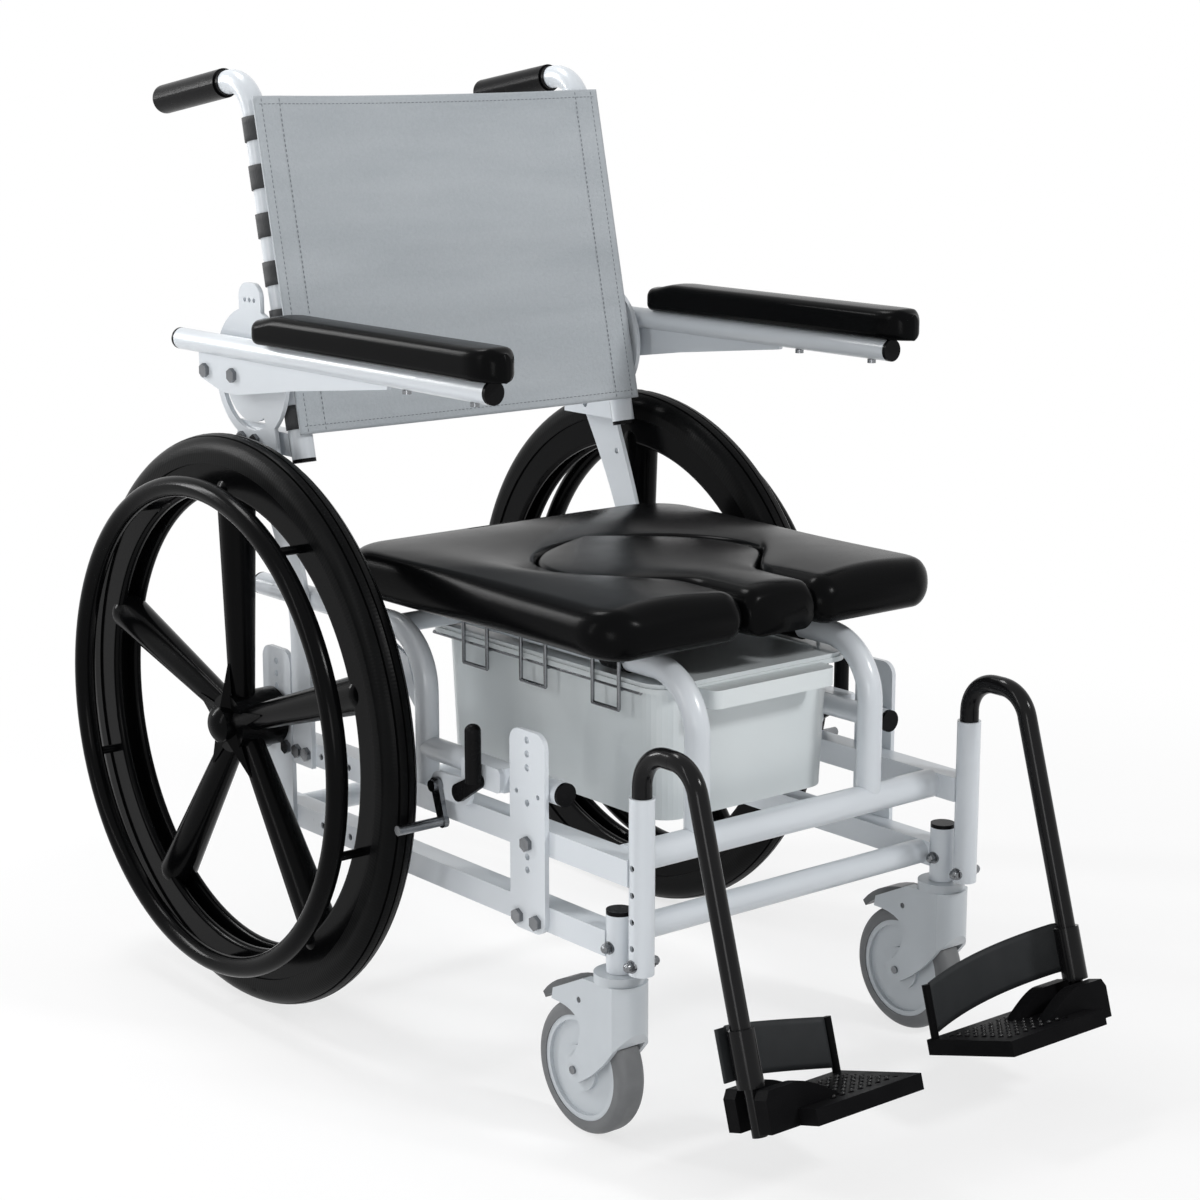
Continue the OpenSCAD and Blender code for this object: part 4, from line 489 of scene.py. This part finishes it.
seat_top = SEAT_UNDER + SEAT_THICK
half_rings = []
for e in (0.0006, 0.002, 0.0045, 0.008, 0.012, 0.0165):
    inner = (KEY_NECK + rounded(e, SEAT_NOSE), SEAT_FRONT + e)
    outer = (SEAT_HALF - rounded(e, SEAT_CORNER), SEAT_FRONT + e)
    low, high = SEAT_UNDER + rounded(e, NOSE_UNDER), seat_top - rounded(e, TURN_OUT)
    crown = SEAT_CROWN * min(1, e / CROWN_RUN)
    half_rings.append(seat_ring(inner, outer, low, high, TURN_IN, TURN_OUT, crown))
for u in np.linspace(0, KEY_STEPS, SEAT_RINGS):
    x, y = seat_edge(u / KEY_STEPS)
    outer = (x - rounded(y - SEAT_FRONT, SEAT_CORNER), y)
    turn_in = TURN_IN - (TURN_IN - TURN_IN_REAR) * ease(u / TURN_STEPS)
    half_rings.append(seat_ring(key_point(u, 0), outer, SEAT_UNDER, seat_top, turn_in, TURN_OUT, SEAT_CROWN))
mirrored = [[(-x, y, z) for x, y, z in ring] for ring in half_rings[-2::-1]]
seat = lofted("seat_foam", half_rings + mirrored, foam_skin)
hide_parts("seat_cushion")
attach(seat, "frame")


def pad_ring(y, half, low, high, radius, crown):
    """A rounded section of a pad across X, with a crowned top."""
    radius = min(radius, half * 0.98, (high - low) * 0.49)
    flat = half - radius
    ring = []
    for sx, sz, start in ((1, -1, 270), (1, 1, 0), (-1, 1, 90), (-1, -1, 180)):
        for x, z in quarter(sx * flat, high - radius if sz > 0 else low + radius, radius, start):
            ring.append((x, y, z + (crown * (1 - (x / half) ** 2) if sz > 0 else 0)))
        if (sx, sz) == (1, 1):
            ring += [(u * flat, y, high + crown * (1 - (u * flat / half) ** 2))
                     for u in np.linspace(0.85, -0.85, TOP_STEPS)]
    return ring


insert_rings = []
insert_under, insert_top = SEAT_UNDER + INSERT_LIFT, seat_top - INSERT_SINK
for e in (0.0006, 0.002, 0.0045, 0.008, 0.0125):
    fall = rounded(e, INSERT_NOSE)
    half = KEY_NECK - INSERT_GAP - INSERT_NARROWS * fall
    insert_rings.append(pad_ring(SEAT_FRONT + INSERT_SET_BACK + e, half, insert_under, insert_top - fall,
                                 INSERT_TURN, SEAT_CROWN))
for u in np.linspace(0.2, 15.6, INSERT_RINGS):
    half, y = key_point(u, INSERT_GAP)
    round_edge = INSERT_TURN - (INSERT_TURN - INSERT_TURN_REAR) * ease(u / TURN_STEPS)
    insert_rings.append(pad_ring(y, half, insert_under, insert_top, round_edge, SEAT_CROWN))
insert = lofted("seat_insert_foam", insert_rings, foam_skin)
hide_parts("seat_insert")
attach(insert, "seat_lid")

# Arm pads
# The same black foam, moulded as one long pad and fixed on top of each armrest tube. The rear end is
# lower, the front end is round and the sides draw in a little along the length.

PAD_REAR, PAD_LENGTH, PAD_UNDER, PAD_THICK = -0.046, 0.404, 0.7087, 0.030
PAD_X, PAD_HALF, PAD_WAIST, PAD_TURN, PAD_CROWN = 0.2607, 0.023, 0.0012, 0.008, 0.002
PAD_FRONT_ROUND, PAD_FRONT_STRETCH, PAD_REAR_ROUND, PAD_RINGS = 0.021, 0.6, 0.012, 61
# How far each end falls, and over which share of the length
REAR_FALL, REAR_SHARE, FRONT_FALL, FRONT_SHARE = 0.007, 0.12, 0.005, 0.03
for side, sign in (("left", 1), ("right", -1)):
    rings = []
    for t in (1 - np.cos(np.linspace(0.03, math.pi - 0.03, PAD_RINGS))) / 2:
        e = min(t, 1 - t) * PAD_LENGTH
        drawn_in = rounded(e * PAD_FRONT_STRETCH, PAD_FRONT_ROUND) if t > 0.5 else rounded(e, PAD_REAR_ROUND)
        half = PAD_HALF - PAD_WAIST * math.sin(math.pi * t) - drawn_in
        fall = REAR_FALL * (1 - ease(t / REAR_SHARE)) + FRONT_FALL * ease((t - 1 + FRONT_SHARE) / FRONT_SHARE)
        ring = pad_ring(PAD_REAR - PAD_LENGTH * t, half, PAD_UNDER, PAD_UNDER + PAD_THICK - fall, PAD_TURN,
                        PAD_CROWN)
        rings.append([(x + sign * PAD_X, y, z) for x, y, z in ring])
    pad = lofted("arm_foam_" + side, rings, foam_skin)
    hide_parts("arm_pad_" + side)
    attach(pad, "arm_" + side)

# Back sling
# One sheet of thick blue-grey felted fabric with a stitched hem all round and a second row of stitching
# down each side, hung from the back tubes by webbing loops. It sags a little and has soft level creases,
# whose shade is also painted into its colour as level bands.

BACK_FOOT_Y, BACK_FOOT_Z, BACK_LEAN = -0.0395, 0.584, math.radians(12.6)
TUBE_R, TUBE_TO_SLING, TUBE_INNER_X = 0.0125, 0.0028, 0.1985
SLING_HALF, SLING_THICK, SLING_LOW, SLING_HIGH, SLING_SAG = 0.226, 0.003, 0.024, 0.374, 0.014
SLING_RISE = SLING_HIGH - SLING_LOW
HEM_WIDTH, HEM_EASE, HEM_PROUD = 0.012, 0.004, 0.0008
# Level creases: height, radians over the rise, slant across and shift
CREASES = ((0.0016, 3 * math.pi, 0.5, 0.0), (0.0014, 17, 1.1, 0.0), (0.0011, 29, -1.6, 0.8))
# Rows of stitching: from the side edges in metres, and from the lower edge as shares of the height
SIDE_SEAMS, LEVEL_SEAMS, SEAM_PROUD = (0.009, 0.031), (0.024, 0.976), 0.001
STITCH_PITCH, STITCH_LENGTH, STITCH_R = 0.0052, 0.0038, 0.00045


def on_back(x, rise, off):
    """A point given across, up the back tube and off its middle to the rear, in the chair's frame."""
    return (x, BACK_FOOT_Y + math.sin(BACK_LEAN) * rise + math.cos(BACK_LEAN) * off + AXLE_Y,
            BACK_FOOT_Z + math.cos(BACK_LEAN) * rise - math.sin(BACK_LEAN) * off)


def sling_point(u, v, proud=0.0):
    """A point of the sling's front face: u from -1 to 1 across, v from 0 to 1 up."""
    flat = min(1.0, abs(u) * SLING_HALF / TUBE_INNER_X)
    sag = SLING_SAG * (1 - flat ** 2.4) * (0.75 + 0.25 * math.sin(math.pi * v))
    crease = sum(high * math.sin(waves * v + slant * u + shift) for high, waves, slant, shift in CREASES)
    crease *= (1 - flat ** 2) * min(1, 6 * v, 6 * (1 - v))
    off = -(TUBE_R + TUBE_TO_SLING + SLING_THICK) + sag + crease - proud
    return on_back(u * SLING_HALF, SLING_LOW + SLING_RISE * v, off)


def grid_faces(columns, rows):
    """Squares between the points of a grid that has this many squares each way."""
    row = columns + 1
    return [(j * row + i, j * row + i + 1, (j + 1) * row + i + 1, (j + 1) * row + i)
            for j in range(rows) for i in range(columns)]


def thicken(sheet, thickness, offset):
    wall = sheet.modifiers.new("thickness", "SOLIDIFY")
    wall.thickness = thickness
    wall.offset = offset


felt = Finish("blue_grey_felt_crease_shade", Sheen_Weight=0.25, Sheen_Roughness=0.5)
fibres = felt.noise(330, 5, 0.75)
# Level bands of darker and lighter colour are painted shade of the creases; the fibres give real tone.
level = felt.node("ShaderNodeMapping", {}, {"Vector": felt.place, "Scale": (4, 4, 24)})
painted_crease_shade = felt.noise(1.0, 3, 0.5, level)
fibre_tone_and_crease_shade = (painted_crease_shade * 0.55 + fibres * 0.45) * 2.1 - 0.55
felt.feed("Base Color", felt.colours(fibre_tone_and_crease_shade, (0.375, 0.41, 0.44), (0.505, 0.54, 0.57)))
felt.feed("Roughness", fibres * 0.15 + 0.78)
felt.bump(fibres * 0.6 + felt.noise(190, 4, 0.6) * 1.1, 0.0011, 0.75)

across_count, up_count = 120, 100
sling_points = []
for j in range(up_count + 1):
    for i in range(across_count + 1):
        u, v = i / across_count * 2 - 1, j / up_count
        from_edge = min((1 - abs(u)) * SLING_HALF, v * SLING_RISE, (1 - v) * SLING_RISE)
        hem = HEM_PROUD * (1 - ease((from_edge - HEM_WIDTH) / HEM_EASE))
        sling_points.append(sling_point(u, v, hem))
sling = meshed("back_felt", sling_points, grid_faces(across_count, up_count), felt, True)
thicken(sling, SLING_THICK, -1)

thread_grey = Finish("grey_thread", Sheen_Weight=0.2)
thread_grey.feed("Base Color", thread_grey.colours(thread_grey.noise(700, 2), (0.15, 0.17, 0.19),
                                                   (0.25, 0.27, 0.29)))
thread_grey.feed("Roughness", thread_grey.noise(300, 2) * 0.2 + 0.6)
thread_grey.bump(thread_grey.noise(3000, 2), 0.0001, 0.4)

seams = []
for inset in SIDE_SEAMS:
    for edge in (inset / SLING_HALF - 1, 1 - inset / SLING_HALF):
        seams.append([sling_point(edge, k / 80, SEAM_PROUD) for k in range(1, 80)])
for edge in LEVEL_SEAMS:
    seams.append([sling_point(k / 60 - 1, edge, SEAM_PROUD) for k in range(2, 119)])
stitches = laid_beads("sling_stitches", seams, STITCH_PITCH, STITCH_LENGTH, STITCH_R, thread_grey)
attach(stitches, "frame")

webbing = Finish("charcoal_webbing", Sheen_Weight=0.15, Sheen_Roughness=0.5)
wx, wy, wz = webbing.axes()
rib = webbing.node("ShaderNodeMath", {"operation": "SINE"}, {0: wz * 5200})
weft = webbing.node("ShaderNodeMath", {"operation": "SINE"}, {0: (wx + wy) * 4600})
webbing.feed("Base Color", webbing.colours(webbing.noise(60, 4), (0.02, 0.021, 0.023), (0.042, 0.044, 0.047)))
webbing.feed("Roughness", webbing.noise(220, 3) * 0.2 + 0.62)
webbing.bump(rib * 0.3 + weft * 0.3 + webbing.noise(900, 2) * 0.4, 0.0004, 0.4)

LOOPS, LOOP_HEIGHT, LOOP_THICK, LOOP_FROM, LOOP_TO = 7, 0.025, 0.0016, 0.031, 0.356
LOOP_X, LOOP_GAP, LOOP_RIPPLE = 0.215, 0.0003, 0.0002
LOOP_ROUND, LOOP_ROWS = 28, 4
loop_points, loop_faces = [], []
for sign in (1, -1):
    for k in range(LOOPS):
        low = LOOP_FROM + k * (LOOP_TO - LOOP_FROM - LOOP_HEIGHT) / (LOOPS - 1)
        first = len(loop_points)
        for step in range(LOOP_ROWS + 1):
            rise = low + LOOP_HEIGHT * step / LOOP_ROWS
            for i in range(LOOP_ROUND):
                a = 2 * math.pi * i / LOOP_ROUND
                r = TUBE_R + LOOP_GAP + LOOP_THICK + LOOP_RIPPLE * math.sin(5 * a + k)
                loop_points.append(on_back(sign * (LOOP_X + r * math.sin(a)), rise, -r * math.cos(a)))
        for step in range(LOOP_ROWS):
            for i in range(LOOP_ROUND):
                a, b = (first + step * LOOP_ROUND + n % LOOP_ROUND for n in (i, i + 1))
                quad = (a, b, b + LOOP_ROUND, a + LOOP_ROUND)
                loop_faces.append(quad if sign > 0 else quad[::-1])
loops = meshed("sling_loops", loop_points, loop_faces, webbing, True)
thicken(loops, LOOP_THICK, -1)
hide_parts("sling_straps")
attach(loops, "frame")

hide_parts("back_sling")
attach(sling, "frame")

# Heel straps
# A flat charcoal band behind each heel, from the clamp sleeve on the footrest tube to a short post on
# the footplate.

band_finish = Finish("charcoal_heel_band", Specular_IOR_Level=0.2)
band_finish.feed("Base Color", band_finish.colours(band_finish.noise(40, 4), (0.014, 0.0155, 0.017),
                                                   (0.024, 0.026, 0.028)))
band_finish.feed("Roughness", band_finish.noise(160, 3) * 0.2 + 0.5)
band_finish.bump(band_finish.noise(1200, 3), 0.0003, 0.4)

HEEL_POST = Vector((-0.148, 0.112 * 0.53 - 0.006))
HEEL_POST_R, HEEL_FROM, HEEL_TAIL = 0.0044, Vector((0.006, 0.0128)), Vector((0.011, 0.0005))
HEEL_BOW, HEEL_HEIGHT, HEEL_THICK, HEEL_OFF = 0.088, 0.048, 0.0024, 0.0012
HEEL_LOW, HEEL_DROP = 0.031, 0.027
HEEL_COLUMNS, HEEL_ROWS, TAIL_COLUMNS = 52, 8, 4
heel_end = HEEL_POST + HEEL_POST_R * (HEEL_FROM - HEEL_POST).normalized()
outwards = Vector((heel_end.y - HEEL_FROM.y, HEEL_FROM.x - heel_end.x)).normalized()
for side, sign in (("left", 1), ("right", -1)):
    heel_points = []
    for j in range(HEEL_ROWS + 1):
        for i in range(HEEL_COLUMNS + 1):
            t = max(0, i - TAIL_COLUMNS) / (HEEL_COLUMNS - TAIL_COLUMNS)
            spot = HEEL_FROM.lerp(heel_end, t) + HEEL_BOW * t * (1 - t) * outwards
            if i < TAIL_COLUMNS:
                spot = HEEL_FROM + HEEL_TAIL * (TAIL_COLUMNS - i) / TAIL_COLUMNS
            low = HEEL_LOW - HEEL_DROP * min(1, max(0, spot.x / HEEL_POST.x))
            heel_points.append(on_foot(spot.x, spot.y + HEEL_OFF, low + HEEL_HEIGHT * j / HEEL_ROWS, sign))
    heel_faces = grid_faces(HEEL_COLUMNS, HEEL_ROWS)
    heel = meshed("heel_band_" + side, heel_points,
                  heel_faces if sign > 0 else [face[::-1] for face in heel_faces], band_finish, True)
    thicken(heel, HEEL_THICK, 0)
    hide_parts("heel_strap_" + side)
    on_foot(0.006, 0.02, 0.05, sign)
    on_foot(-0.03, 0.02, 0.05, sign)
    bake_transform(heel)

# Studio
# A white floor that runs out into a white surround, under three softboxes and two strips. The camera
# stands in front of the chair's right side, a little above the push handles, with a short telephoto lens.

CAMERA_X, CAMERA_Y, CAMERA_Z = -1.682834, -2.337834, 1.024982
CAMERA_DIP, CAMERA_TURN = 0.214814, -0.681302
FOCAL_PIXELS, PICTURE_PIXELS, SENSOR_MM = 2639, 1200, 36
LAMP_AIM = Vector((0, -0.1, 0.45))
AIR_LIGHT, FLOOR_HALF = 0.36, 30

scene.view_settings.view_transform = "Standard"
camera = bpy.data.objects.new("camera", bpy.data.cameras.new("camera"))
camera.location = (CAMERA_X, CAMERA_Y + AXLE_Y, CAMERA_Z)
camera.rotation_euler = Euler((math.pi / 2 - CAMERA_DIP, 0, CAMERA_TURN))
camera.data.sensor_width = SENSOR_MM
camera.data.lens = FOCAL_PIXELS / PICTURE_PIXELS * SENSOR_MM
camera.data.clip_end = 100
scene.collection.objects.link(camera)
scene.camera = camera

for name, place, width, height, watts in (("front_softbox", (0.9, -2.9, 2.5), 0.5, 0.5, 52),
                                          ("left_strip", (-2.9, 0.2, 1.5), 0.2, 1.9, 13),
                                          ("low_fill", (-2.3, -2.3, 0.6), 0.8, 0.8, 12),
                                          ("rear_strip", (-1.6, 2.4, 1.6), 0.3, 1.5, 40),
                                          ("top_softbox", (-0.3, 1.3, 3.1), 1.0, 0.6, 36)):
    lamp = bpy.data.lights.new(name, "AREA")
    lamp.shape = "RECTANGLE"
    lamp.size = width
    lamp.size_y = height
    lamp.energy = watts
    holder = bpy.data.objects.new(name, lamp)
    holder.visible_camera = False
    holder.location = place
    holder.rotation_euler = (LAMP_AIM - Vector(place)).to_track_quat("-Z", "Y").to_euler()
    scene.collection.objects.link(holder)


def shown_rays(nodes):
    """One or more for a ray that sees plain white: from the camera, off gloss or through a clear piece."""
    seen, mirrored_ray, passed = (nodes.node("ShaderNodeLightPath", output=ray)
                                  for ray in ("Is Camera Ray", "Is Glossy Ray", "Is Transmission Ray"))
    return seen + mirrored_ray + passed


world = bpy.data.worlds.new("studio_air")
world.use_nodes = True
scene.world = world
air = Nodes(world.node_tree)
strength = air.node("ShaderNodeMapRange", {}, {"Value": shown_rays(air), "To Min": AIR_LIGHT, "To Max": 1.0})
air.put(air.tree.nodes["Background"], "Color", (1, 1, 1))
air.put(air.tree.nodes["Background"], "Strength", strength)

paper = Finish("floor_paper", Base_Color=(0.9, 0.9, 0.905), Roughness=0.9)
floor_x, floor_y = paper.axes()[:2]
away = paper.node("ShaderNodeMath", {"operation": "SQRT"}, {0: floor_x * floor_x + floor_y * floor_y})
fade = paper.node("ShaderNodeMapRange", {"interpolation_type": "SMOOTHSTEP"},
                  {"Value": away, "From Min": 0.7, "From Max": 1.7, "To Min": 0.72, "To Max": 1.0})
lit = Wire(paper, paper.shader.outputs[0])
white = paper.node("ShaderNodeEmission")
mixed = paper.node("ShaderNodeMixShader", {}, {0: shown_rays(paper) * fade, 1: lit, 2: white})
paper.put(paper.tree.nodes["Material Output"], "Surface", mixed)
floor_corners = [(x * FLOOR_HALF, y * FLOOR_HALF, 0) for x, y in ((-1, -1), (1, -1), (1, 1), (-1, 1))]
floor = meshed("floor", floor_corners, [(0, 1, 2, 3)], paper, False)
